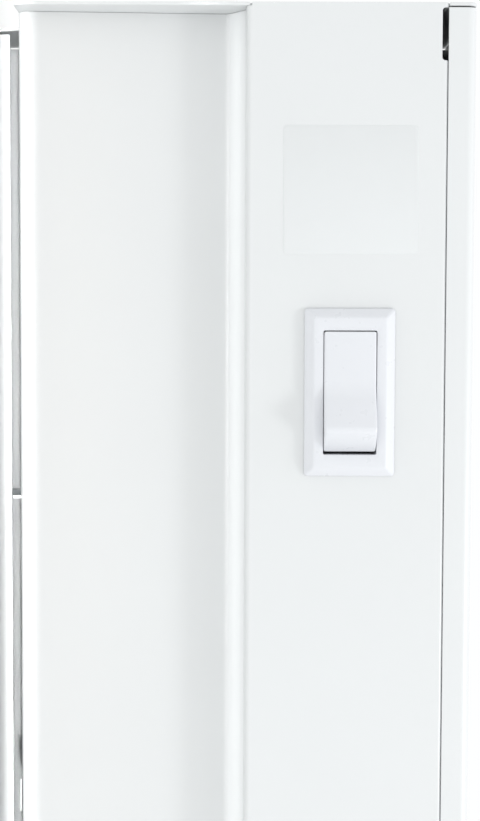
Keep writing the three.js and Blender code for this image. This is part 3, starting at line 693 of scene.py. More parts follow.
def inset(outline: np.ndarray, depth: float) -> np.ndarray:
    """Moves each point of a closed outline inwards by a depth, along its mitre.

    The mitre is the sum of the two edge normals over one plus their dot product.

    Args:
        outline: an array of 2-D points.
        depth: how far in.

    Returns:
        The moved points.
    """
    ahead = np.roll(outline, -1, axis=0) - outline
    ahead /= np.linalg.norm(ahead, axis=1, keepdims=True)
    normal_ahead = np.stack([-ahead[:, 1], ahead[:, 0]], axis=-1)
    normal_back = np.roll(normal_ahead, 1, axis=0)
    dot = np.sum(normal_ahead * normal_back, axis=1, keepdims=True)
    mitre = (normal_ahead + normal_back) / np.maximum(1 + dot, 0.2)
    following = np.roll(outline, -1, axis=0)
    area = np.sum(outline[:, 0] * following[:, 1] - outline[:, 1] * following[:, 0])
    return outline + mitre * depth * math.copysign(1.0, area)


def edge_levels(thickness: float, edge: float, steps: int) -> np.ndarray:
    """(inset, height) rows of a slab whose two rims are rounded to a quarter circle each.

    The lower rim's row at angle a is edge * (1 - sin a, 1 - cos a); the upper one mirrors it.

    Args:
        thickness: the slab's thickness.
        edge: the radius of its rims.
        steps: rows on each rim.

    Returns:
        The rows from the bottom to the top.
    """
    angle = np.linspace(0, QUARTER_TURN, steps)
    lower = np.stack([edge * (1 - np.sin(angle)), edge * (1 - np.cos(angle))], axis=-1)
    upper = np.stack([lower[::-1, 0], thickness - lower[::-1, 1]], axis=-1)
    return np.concatenate([lower, upper])


def slab_shell(outline: np.ndarray, levels: np.ndarray, placed: np.ndarray) -> Shell:
    """A slab: a closed outline at several levels, each inset by its own amount.

    A point (u, v) of level (inset, w) is at origin + u * first + v * second + w * third.

    Args:
        outline: an array of 2-D points.
        levels: (inset, height) rows from the bottom to the top.
        placed: a 4 by 3 array: origin, first, second and third axis.

    Returns:
        The points and faces.
    """
    flat = np.stack([inset(outline, depth) for depth in levels[:, 0]])
    rise = levels[:, 1][:, None, None] * placed[3]
    return ringed_shell(placed[0] + flat @ placed[1:3] + rise)


@dataclass(frozen=True)
class Opening:
    """A hole in a sheet: its middle and size, along X and along the profile, and its corners."""

    x: float
    s: float
    width: float
    height: float
    corner: float = 0.0

    def lines(self, middle: float, size: float) -> np.ndarray:
        """Grid lines that the hole needs in one direction.

        On each side of the hole they stand at radius * (1 - cos a) for angles a from 0 to a
        quarter turn, rounded, so that the corner arcs get even steps.

        Args:
            middle: the hole's middle in that direction.
            size: its size in that direction.

        Returns:
            The places of the lines.
        """
        turns = np.array([0.0, 0.13, 0.38, 0.68, 1.0]) * self.corner
        low, high = middle - size / 2, middle + size / 2
        return np.concatenate([low + turns, high - turns])


@dataclass(frozen=True)
class Sheet:
    """A bent sheet: a centre line of (y, z) points carried along X, with holes.

    A point (x, s) of the sheet lies at (x, Y(s), Z(s)), where s is the distance along the
    centre line. A hole's rectangle loses its cells, and the points on its rim that lie past a
    corner's arc centre move on to that arc.
    """

    line: np.ndarray
    x0: float
    x1: float
    openings: tuple[Opening, ...] = ()
    pitch: float = 12 * MM

    def run(self) -> np.ndarray:
        """The distance along the centre line at each of its points."""
        steps = np.linalg.norm(np.diff(self.line, axis=0), axis=1)
        return np.concatenate([[0.0], np.cumsum(steps)])

    def reach(self, axis: int, value: float, near: float) -> float:
        """The distance along the line at which it passes a coordinate, nearest to a guess.

        Args:
            axis: 0 for y or 1 for z.
            value: the coordinate.
            near: which passing to take, as a distance along the line.

        Returns:
            The distance along the line.
        """
        run = self.run()
        a, b = self.line[:-1, axis] - value, self.line[1:, axis] - value
        hits = np.nonzero((a * b <= 0) & (np.abs(a - b) > NOTHING))[0]
        places = run[hits] + (run[hits + 1] - run[hits]) * a[hits] / (a[hits] - b[hits])
        return float(places[np.argmin(np.abs(places - near))])

    def piece(self, name: str) -> bpy.types.Object:
        """Builds the sheet as a closed object with softened edges.

        Args:
            name: the piece's name.

        Returns:
            The object.
        """
        run = self.run()
        xs = [np.arange(self.x0, self.x1, self.pitch), [self.x1]]
        ss = [run]
        for hole in self.openings:
            xs.append(hole.lines(hole.x, hole.width))
            ss.append(hole.lines(hole.s, hole.height))
        x = merged_stations(np.concatenate(xs), self.x0, self.x1)
        s = merged_stations(np.concatenate(ss), 0.0, float(run[-1]))
        place_x, place_s = np.meshgrid(x, s, indexing="ij")
        middle_x = (place_x[1:, 1:] + place_x[:-1, 1:]) / 2
        middle_s = (place_s[1:, 1:] + place_s[1:, :-1]) / 2
        keep = np.ones(middle_x.shape, bool)
        for hole in self.openings:
            far_x = np.abs(middle_x - hole.x) < hole.width / 2
            far_s = np.abs(middle_s - hole.s) < hole.height / 2
            keep &= ~(far_x & far_s)
        for hole in self.openings:
            place_x, place_s = self.rounded(hole, place_x, place_s)
        y = np.interp(place_s, run, self.line[:, 0])
        z = np.interp(place_s, run, self.line[:, 1])
        points = np.stack([place_x, y, z], axis=-1).reshape(-1, 3)
        faces = grid_faces(len(x), len(s), False)[keep.ravel()]
        used, numbers = np.unique(faces, return_inverse=True)
        quads = [tuple(face) for face in numbers.reshape(-1, 4).tolist()]
        piece = make_piece(name, points[used], quads)
        thicken(piece, SHEET)
        soften(piece, CUT_EDGE)
        return piece

    @staticmethod
    def rounded(
        hole: Opening, place_x: np.ndarray, place_s: np.ndarray
    ) -> tuple[np.ndarray, np.ndarray]:
        """Moves the rim points past each arc centre on to the hole's corner arcs.

        A point at (p, q) from the arc's centre goes to (p, q) * max(p, q) / length(p, q).

        Args:
            hole: the hole.
            place_x: the grid points' places along X.
            place_s: their places along the profile.

        Returns:
            Both grids with the points moved.
        """
        if hole.corner <= 0:
            return place_x, place_s
        dx, ds = place_x - hole.x, place_s - hole.s
        past_x = np.abs(dx) - (hole.width / 2 - hole.corner)
        past_s = np.abs(ds) - (hole.height / 2 - hole.corner)
        largest = np.maximum(past_x, past_s)
        corner = (past_x > NOTHING) & (past_s > NOTHING) & (largest < hole.corner + NOTHING)
        length = np.maximum(np.hypot(past_x, past_s), NOTHING)
        scale = np.where(corner, largest / length, 1.0)
        new_x = hole.x + np.sign(dx) * (hole.width / 2 - hole.corner + past_x * scale)
        new_s = hole.s + np.sign(ds) * (hole.height / 2 - hole.corner + past_s * scale)
        return np.where(corner, new_x, place_x), np.where(corner, new_s, place_s)


def merged_stations(values: np.ndarray, low: float, high: float) -> np.ndarray:
    """Sorted grid lines between two limits, with lines closer than two hairs joined.

    Args:
        values: the lines' places in any order.
        low: the first line.
        high: the last line.

    Returns:
        The lines that are kept.
    """
    ordered = np.unique(np.clip(values, low, high))
    apart = np.concatenate([[True], np.diff(ordered) > 2 * HAIR])
    kept = ordered[apart]
    kept[-1] = high
    return kept


# ---------------------------------------------------------------------------------------------
# Workshop steps
# ---------------------------------------------------------------------------------------------


def thicken(piece: bpy.types.Object, thickness: float) -> None:
    """Gives an open sheet its wall, half to each side.

    Args:
        piece: the sheet.
        thickness: the thickness of its wall.
    """
    solid = piece.modifiers.new("wall", "SOLIDIFY")
    solid.thickness = thickness
    solid.offset = 0.0
    solid.use_even_offset = True


def soften(piece: bpy.types.Object, width: float, segments: int = 2, angle: float = 40.0) -> None:
    """Rounds the sharp edges of a piece.

    Args:
        piece: the object.
        width: how far the rounding reaches.
        segments: steps across the rounding.
        angle: the least turn, in degrees, that counts as a sharp edge.
    """
    bevel = piece.modifiers.new("edges", "BEVEL")
    bevel.width = width
    bevel.segments = segments
    bevel.limit_method = "ANGLE"
    bevel.angle_limit = math.radians(angle)
    bevel.harden_normals = True


def shade(mesh: bpy.types.Mesh, angle: float) -> None:
    """Shades a mesh smooth, apart from edges that turn by more than an angle in degrees."""
    mesh.polygons.foreach_set("use_smooth", np.ones(len(mesh.polygons), bool))
    mesh.set_sharp_from_angle(angle=math.radians(angle))


def settle(piece: bpy.types.Object) -> None:
    """Bakes a piece's modifiers into its mesh.

    Args:
        piece: the object.
    """
    graph = bpy.context.evaluated_depsgraph_get()
    made = bpy.data.meshes.new_from_object(piece.evaluated_get(graph))
    piece.modifiers.clear()
    piece.data = made


def carve(piece: bpy.types.Object, cutter: bpy.types.Object) -> None:
    """Cuts one closed shape out of a piece and throws the cutter away.

    Args:
        piece: the object that is cut.
        cutter: the closed shape.
    """
    cut = piece.modifiers.new("cut", "BOOLEAN")
    cut.operation = "DIFFERENCE"
    cut.solver = "EXACT"
    cut.object = cutter
    settle(piece)
    bpy.data.objects.remove(cutter)


def merge_into(piece: bpy.types.Object, extra: bpy.types.Object) -> None:
    """Adds the mesh of a second object to a piece and throws the second away.

    Args:
        piece: the object that grows.
        extra: the object that is added.
    """
    work = bmesh.new()
    work.from_mesh(piece.data)
    work.from_mesh(extra.data)
    work.to_mesh(piece.data)
    work.free()
    bpy.data.objects.remove(extra)


def refined_copy(node: str, name: str) -> bpy.types.Object:
    """A merged copy of a CAD node's mesh, with its flat areas cleaned up.

    Args:
        node: the CAD node.
        name: the new piece's name.

    Returns:
        The new object.
    """
    work = bmesh.new()
    work.from_mesh(bpy.data.objects[node].data)
    bmesh.ops.remove_doubles(work, verts=work.verts, dist=0.2 * HAIR)
    still_flat = math.radians(0.5)
    bmesh.ops.dissolve_limit(work, angle_limit=still_flat, verts=work.verts, edges=work.edges)
    mesh = bpy.data.meshes.new(name)
    work.to_mesh(mesh)
    work.free()
    shade(mesh, 35)
    piece = bpy.data.objects.new(name, mesh)
    bpy.context.scene.collection.objects.link(piece)
    return piece


def box_middle(node: str) -> Vector:
    """The middle of a CAD node's box.

    Args:
        node: the CAD node.

    Returns:
        The point.
    """
    low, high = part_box(node)
    return (low + high) / 2


class Workshop:
    """Finishes pieces: the body they ride on, the node they stand for and their finish."""

    def __init__(self, paintbox: Paintbox) -> None:
        """Keeps the finishes at hand.

        Args:
            paintbox: the maker of finishes.
        """
        self.paintbox = paintbox

    def hand_in(
        self, piece: bpy.types.Object, slot: Slot, node: str, body: Body = Body.CASE
    ) -> None:
        """Dresses a piece, puts it on its body and lets it stand for a CAD node.

        Args:
            piece: the finished piece.
            slot: its finish.
            node: the CAD node it stands for.
            body: the body it rides on.
        """
        self.paintbox.dress(piece, slot)
        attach(piece, body.value)
        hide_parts(node)
        LOG.info("%s stands for %s on %s", piece.name, node, body.value)

    def polish(self, node: str, slot: Slot, edge: float, body: Body = Body.CASE) -> None:
        """Makes a piece from a CAD node by cleaning its mesh and rounding its edges.

        Args:
            node: the CAD node.
            slot: its finish.
            edge: how far its edges are rounded.
            body: the body it rides on.
        """
        piece = refined_copy(node, node + "_piece")
        soften(piece, edge)
        self.hand_in(piece, slot, node, body)


# ---------------------------------------------------------------------------------------------
# Sub-assemblies
# ---------------------------------------------------------------------------------------------


@dataclass
class Casing:
    """The back panel with its hood, the front cover, the end caps, their screws and the label."""

    shop: Workshop
    wall: float
    front: float
    left: float
    right: float
    top: float
    panel_bends: tuple[float, ...] = (2.4 * MM, 1.6 * MM, 1.6 * MM, 1.6 * MM)
    cover_bends: tuple[float, ...] = (0.7 * MM, 1.0 * MM, 1.6 * MM, 3 * MM, 3 * MM)
    lip: float = 8.4 * MM
    flange: float = 25 * MM
    flange_lip: float = 7.6 * MM
    end_gap: float = 1.5 * MM
    slot_count: int = 34
    slot_pitch: float = 15 * MM
    slot_middle: float = 35 * MM
    slot_size: tuple[float, float] = (8 * MM, 36 * MM)
    screw_hole: float = 5 * MM
    entry_hole: float = 21.6 * MM
    switch_hole: tuple[float, float] = (45 * MM, 22.4 * MM)
    cover_foot: float = 15 * MM
    seam: float = 0.05 * MM
    step_top: float = 84.5 * MM
    step_foot: float = 78.6 * MM
    step_return: float = 6.2 * MM
    recess_top: float = 12 * MM
    recess_foot: float = 8.5 * MM
    hem: float = 8 * MM
    hook: float = 6 * MM
    notch: tuple[float, float] = (15.4 * MM, 1.9 * MM)
    end_inset: float = 1.06 * MM
    wall_screws: tuple[tuple[float, float], ...] = (
        (-340 * MM, 100 * MM),
        (-120 * MM, 120 * MM),
        (200 * MM, 120 * MM),
        (340 * MM, 100 * MM),
    )

    def build(self) -> None:
        """Makes every piece of the casing."""
        self.back_panel()
        self.front_cover()
        for side in ("left", "right"):
            self.shop.polish("end_cap_" + side, Slot.ENAMEL, 0.25 * MM)
            for place in ("lower", "upper"):
                self.cap_screw(f"end_cap_screw_{side}_{place}")
        self.label()

    def back_panel(self) -> None:
        """One sheet: back, hood with outlet slots, front lip, floor flange and its lip."""
        half = SHEET / 2
        face, back, foot = self.front + half, self.wall - half, self.wall - self.flange + half
        corners = np.array(
            [
                [face, self.top - self.lip],
                [face, self.top - half],
                [back, self.top - half],
                [back, half],
                [foot, half],
                [foot, self.flange_lip],
            ]
        )
        line = bent_line(corners, np.array(self.panel_bends), 9)
        plain = Sheet(line, self.left + self.end_gap, self.right - self.end_gap)
        hood = plain.reach(0, (self.front + self.wall) / 2, 0.0)
        first = self.slot_middle - (self.slot_count - 1) * self.slot_pitch / 2
        width, length = self.slot_size
        holes = [
            Opening(first + i * self.slot_pitch, hood, width, length, width / 2 - 0.1 * MM)
            for i in range(self.slot_count)
        ]
        entry = box_middle("entry_bushing")
        rounds = [(x, z, self.screw_hole) for x, z in self.wall_screws]
        rounds.append((entry.x, entry.z, self.entry_hole))
        for x, z, size in rounds:
            at = plain.reach(1, z, float(plain.run()[-1]) / 2)
            holes.append(Opening(x, at, size, size, size / 2 - HAIR))
        sheet = Sheet(line, plain.x0, plain.x1, tuple(holes))
        self.shop.hand_in(sheet.piece("back_panel_sheet"), Slot.ENAMEL, "back_panel")

    def cover_line(self) -> np.ndarray:
        """The centre line of the cover: hook, flat face, sloping step, recessed face and hem.

        Returns:
            The line's (y, z) points from the top down.
        """
        face = self.front + SHEET / 2
        top = self.top - self.lip - self.seam - SHEET / 2
        foot = self.cover_foot + SHEET / 2
        corners = np.array(
            [
                [face + self.hook, top],
                [face, top],
                [face, self.step_top],
                [face + self.step_return, self.step_top - 0.2 * MM],
                [face + self.recess_top, self.step_foot],
                [face + self.recess_foot, foot],
                [face + self.recess_foot + self.hem, foot],
            ]
        )
        return bent_line(corners, np.array(self.cover_bends), 10)

    def front_cover(self) -> None:
        """The cover: full length above the step, held between the end caps below it."""
        line = self.cover_line()
        plain = Sheet(line, self.left, self.right)
        total = float(plain.run()[-1])
        shoulder = plain.reach(1, self.step_top + 1.0 * MM, total / 2)
        crest = plain.reach(0, self.front + SHEET / 2 + 1.3 * MM, 0.0)
        notch_foot = self.top - self.lip - self.notch[1]
        drop = plain.reach(1, notch_foot, crest)
        low_middle, low_size = (shoulder + total) / 2, total - shoulder + 0.2 * MM
        holes = []
        for end, sign in ((self.left, 1), (self.right, -1)):
            holes.append(Opening(end, low_middle, 2 * self.end_inset, low_size))
            holes.append(Opening(end, 0.0, 2 * self.end_inset, 2 * crest))
            middle = end + sign * (self.end_gap + self.notch[0] / 2)
            holes.append(Opening(middle, 0.0, self.notch[0], 2 * drop, 0.9 * MM))
        switch = box_middle("switch_housing")
        at = plain.reach(1, switch.z, total / 3)
        holes.append(Opening(switch.x, at, *self.switch_hole, 1.0 * MM))
        sheet = Sheet(line, self.left, self.right, tuple(holes), 8 * MM)
        self.shop.hand_in(sheet.piece("front_cover_sheet"), Slot.ENAMEL, "front_cover")

    def cap_screw(self, node: str) -> None:
        """A pan-head screw with a cross recess, its head towards the front.

        Args:
            node: the CAD screw that it stands for.
        """
        piece = closed_piece(node + "_piece", [screw_shell(node, 3.4 * MM, 1.7 * MM)])
        soften(piece, 0.08 * MM, 1, 60)
        self.shop.hand_in(piece, Slot.SCREW, node)

    def label(self) -> None:
        """A blank rating label: thin film with round corners, lying on the cover."""
        low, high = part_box("rating_label")
        width, height = high.x - low.x, high.z - low.z
        corners = np.array([[0, 0], [width, 0], [width, height], [0, height]])
        outline = rounded_outline(corners, np.full(4, 1.2 * MM), 8)
        pressed_in = 2 * HAIR
        origin = [low.x, self.front + pressed_in, low.z]
        placed = np.array([origin, [1, 0, 0], [0, 0, 1], [0, -1, 0]])
        levels = edge_levels(0.07 * MM, 0.03 * MM, 3)
        piece = closed_piece("rating_label_film", [slab_shell(outline, levels, placed)])
        self.shop.hand_in(piece, Slot.LABEL, "rating_label")


def screw_shell(node: str, head: float, shank: float) -> Shell:
    """A screw along Y: tip, shank and domed head with a cross recess.

    At share t of the head's radius the dome stands (flat + (1 - flat) * sqrt(1 - t^2)) of its
    height above the seat. The recess is taken off it: its depth falls with the distance to the
    nearer of the cross's two lines, and towards the ends of the cross.

    Args:
        node: the CAD screw that gives its place.
        head: the head's radius.
        shank: the shank's radius.

    Returns:
        The points and faces.
    """
    low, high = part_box(node)
    middle = box_middle(node)
    dome = (high.y - low.y) * 0.44
    seat = low.y + dome
    flat, cross_width, cross_depth = 0.38, 0.16, 0.7
    angle = np.linspace(0, FULL_TURN, 48, endpoint=False)
    tip = [(high.y, HAIR), (high.y, shank * 0.6), (high.y - 0.4 * MM, shank), (seat, shank)]
    rim = [(seat, head), (seat - 0.35 * dome, head)]
    turned = np.array(tip + rim)
    share = np.linspace(0.97, 0.0, 12)
    height = dome * (flat + (1 - flat) * np.sqrt(1 - share**2))
    radius = np.concatenate([turned[:, 1], head * share])[:, None]
    x, z = radius * np.cos(angle), radius * np.sin(angle)
    crown = slice(len(turned), None)
    near = np.minimum(np.abs(x[crown]), np.abs(z[crown])) / head
    reach = np.maximum(np.abs(x[crown]), np.abs(z[crown])) / head
    recess = np.clip(1 - near / cross_width, 0, 1) * np.clip(1.5 - 2.4 * reach, 0, 1)
    y = np.concatenate([turned[:, 0], seat - height])[:, None] + 0.0 * angle
    y[crown] += recess * dome * cross_depth
    return ringed_shell(np.stack([middle.x + x, y, middle.z + z], axis=-1))


@dataclass
class RockerSwitch:
    """The snap-in rocker switch: moulded housing, rocker, and the contact parts inside."""

    shop: Workshop
    front: float
    pivot: Vector
    tilt: float = math.radians(10)
    half_length: float = 17.7 * MM
    width: float = 15.5 * MM
    clearance: float = 0.35 * MM
    face: float = 4.3 * MM
    crest: tuple[float, float] = (12.35 * MM, 7.27 * MM)
    valley_bend: float = 14 * MM
    crest_bend: float = 2.2 * MM
    end_bend: float = 0.3 * MM
    long_edge: float = 0.65 * MM
    room: tuple[float, float, float, float] = (14.5 * MM, -11.5 * MM, 1.1 * MM, 11.5 * MM)
    trunnion: float = 1.5 * MM
    bearing_play: float = 0.3 * MM
    guide: tuple[float, float] = (2.3 * MM, 3.5 * MM)
    guide_foot: float = -6 * MM
    guide_roof: tuple[float, float] = (0.8 * MM, 1.6 * MM)
    plunger_radius: float = 2 * MM
    plunger_ends: tuple[float, float] = (-13.2 * MM, -3.8 * MM)
    body: tuple[float, float] = (22 * MM, 10.7 * MM)
    frame_out: float = 3.15 * MM
    bevel: float = 2.6 * MM

    def build(self) -> None:
        """Makes every piece of the switch."""
        self.housing()
        self.rocker()
        self.plunger()
        self.shop.polish("plunger_spring", Slot.SPRING, 0.03 * MM, Body.ROCKER)
        self.shop.polish("contact_arm", Slot.BRASS, 0.12 * MM, Body.ARM)
        for name in ("line", "load"):
            self.shop.polish("switch_blade_" + name, Slot.BRASS, 0.12 * MM)
            self.shop.polish("push_on_" + name, Slot.PUSH_ON, 0.5 * MM)

    def housing(self) -> None:
        """Bevelled frame and body as rings of rounded rectangles from inside to outside.

        Each ring is a rectangle grown by an amount past the well, the frame or the body, with a
        corner radius in millimetres, at a distance out from the cover. The list walks up the
        well's wall, over the flat, down the bevel and back along the body to its rear wall.
        """
        low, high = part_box("switch_housing")
        well = (self.half_length + 2 * self.clearance, (self.width + self.clearance) / 2)
        frame = ((high.x - low.x) / 2, (high.z - low.z) / 2)
        back, flat, bevel = self.front - high.y, self.frame_out, self.bevel
        rings = [
            (well, 0.0, 0.5, back + 2 * MM),
            (well, 0.0, 0.5, flat - 0.2 * MM),
            (well, 0.05 * MM, 0.55, flat - 0.06 * MM),
            (well, 0.18 * MM, 0.6, flat),
            (frame, -bevel - 0.5 * MM, 0.5, flat),
            (frame, -bevel - 0.12 * MM, 0.6, flat - 0.07 * MM),
            (frame, -bevel + 0.3 * MM, 0.7, flat - 0.35 * MM),
            (frame, -0.35 * MM, 0.9, 0.95 * MM),
            (frame, -0.08 * MM, 1.0, 0.7 * MM),
            (frame, 0.0, 1.0, 0.45 * MM),
            (frame, 0.0, 1.0, 0.12 * MM),
            (frame, -0.15 * MM, 0.9, 0.03 * MM),
            (self.body, 0.0, 0.6, 0.03 * MM),
            (self.body, 0.0, 0.6, back + 0.4 * MM),
            (self.body, -0.4 * MM, 0.6, back),
        ]
        shell = ringed_shell(np.stack([self.rectangle(*ring) for ring in rings]))
        piece = closed_piece("switch_housing_moulding", [shell])
        bore = self.trunnion + self.bearing_play
        reach = self.width / 2 + 1.5 * MM + self.bearing_play
        profile = np.array([[-reach, 0.0], [-reach, bore], [reach, bore], [reach, 0.0]])
        cutter = closed_piece("bearing", [turned_shell(profile, tuple(self.pivot), "z", 32)])
        carve(piece, cutter)
        shade(piece.data, 38)
        self.shop.hand_in(piece, Slot.WHITE_PLASTIC, "switch_housing")

    def rectangle(
        self, half: tuple[float, float], grown: float, corner: float, out: float
    ) -> np.ndarray:
        """A rounded rectangle round the switch's middle, facing the room.

        Args:
            half: half its length and half its height.
            grown: how far each side then moves out.
            corner: its corner radius in millimetres.
            out: how far in front of the cover it lies.

        Returns:
            The points of the ring.
        """
        middle = box_middle("switch_housing")
        a, b = half[0] + grown, half[1] + grown
        corners = np.array([[-a, -b], [a, -b], [a, b], [-a, b]])
        flat = rounded_outline(corners, np.full(4, corner * MM), 7)
        y = np.full(len(flat), self.front - out)
        return np.stack([middle.x + flat[:, 0], y, middle.z + flat[:, 1]], axis=-1)

    def side_view(self) -> np.ndarray:
        """The rocker seen from above, in its own frame: (along, out) from the trunnion axis.

        Two flats meet in a shallow valley at the middle. One lies level with the frame at rest,
        the other climbs to a rounded crest and falls down a finger slope at the rocker's end.
        Both run into an arc about the trunnion axis.

        Returns:
            The closed outline's points.
        """
        c, s = math.cos(self.tilt), math.sin(self.tilt)
        reach = self.half_length + 1.3 * self.clearance
        flush_end = np.array([-reach * c + self.face * s, reach * s + self.face * c])
        skirt = arc((0.0, 0.0), self.half_length, math.radians(1), math.radians(-18), 9)
        mirrored = (skirt * [-1.0, 1.0])[::-1]
        valley = [0.0, self.face / c]
        corners = np.concatenate([[valley], [self.crest], skirt, mirrored, [flush_end]])
        radii = np.zeros(len(corners))
        radii[[0, 1, -1]] = self.valley_bend, self.crest_bend, self.end_bend
        return rounded_outline(corners, radii, 12)

    def rocker(self) -> None:
        """The rocker: its side view carried across its width, hollow, with its trunnion."""
        placed = self.rocker_axes(-self.width / 2)
        levels = edge_levels(self.width, self.long_edge, 7)
        piece = closed_piece("rocker_moulding", [slab_shell(self.side_view(), levels, placed)])
        end, floor, roof, across = self.room
        pocket = np.array([[-end, floor], [end, floor], [end, roof], [-end, roof]])
        room = slab_shell(
            rounded_outline(pocket, np.full(4, 0.8 * MM), 4),
            edge_levels(across, 0.4 * MM, 3),
            self.rocker_axes(-across / 2),
        )
        carve(piece, closed_piece("room", [room]))
        extra = closed_piece("rocker_extras", [self.trunnion_shell(), self.guide_shell()])
        merge_into(piece, extra)
        shade(piece.data, 40)
        self.shop.hand_in(piece, Slot.WHITE_PLASTIC, "rocker", Body.ROCKER)

    def rocker_axes(self, start: float) -> np.ndarray:
        """Origin and axes of the rocker's frame at rest: along, out and up.

        Args:
            start: where along the trunnion axis the frame's origin lies.

        Returns:
            A 4 by 3 array.
        """
        c, s = math.cos(self.tilt), math.sin(self.tilt)
        along = np.array([c, -s, 0.0])
        out = np.array([-s, -c, 0.0])
        up = np.array([0.0, 0.0, 1.0])
        return np.stack([np.array(self.pivot) + start * up, along, out, up])

    def rings_about_out(self, profile: np.ndarray, sides: int) -> np.ndarray:
        """Circles square to the rocker's outward axis: r * (cos a along + sin a up) + h * out.

        Args:
            profile: (r, h) rows.
            sides: how many points go round.

        Returns:
            An array of (rings, points, 3).
        """
        origin, along, out, up = self.rocker_axes(0.0)
        angle = np.linspace(0, FULL_TURN, sides, endpoint=False)[:, None]
        circle = np.cos(angle) * along + np.sin(angle) * up
        radius = np.maximum(profile[:, 0], HAIR)[:, None, None]
        return origin + radius * circle + profile[:, 1][:, None, None] * out

    def trunnion_shell(self) -> Shell:
        """The pin that the rocker turns on, standing out of both long sides.

        Returns:
            The points and faces.
        """
        reach = self.width / 2 + 1.5 * MM
        profile = rod_profile(-reach, reach, self.trunnion, 0.2 * MM)
        return turned_shell(profile, tuple(self.pivot), "z", 28)

    def guide_shell(self) -> Shell:
        """The sleeve under the rocker that holds the plunger, as rings in the rocker's frame.

        Returns:
            The points and faces.
        """
        inner, outer = self.guide
        ceiling, roof = self.guide_roof
        inside = [(inner, self.guide_foot), (inner, ceiling), (0.0, ceiling)]
        outside = [(0.0, roof), (outer, roof), (outer, self.guide_foot)]
        return ringed_shell(self.rings_about_out(np.array(inside + outside), 32), False)

    def plunger(self) -> None:
        """The round-nosed plunger in its sleeve, as rings in the rocker's frame."""
        radius, edge = self.plunger_radius, 0.3 * MM
        nose_end, tail_end = self.plunger_ends
        nose = arc((0.0, nose_end + radius), radius, -QUARTER_TURN, 0.0, 8)
        tail = [[radius, tail_end - edge], [radius - edge, tail_end], [0.0, tail_end]]
        shell = ringed_shell(self.rings_about_out(np.concatenate([nose, tail]), 28))
        piece = closed_piece("rocker_plunger_piece", [shell])
        self.shop.hand_in(piece, Slot.NYLON, "rocker_plunger", Body.ROCKER)


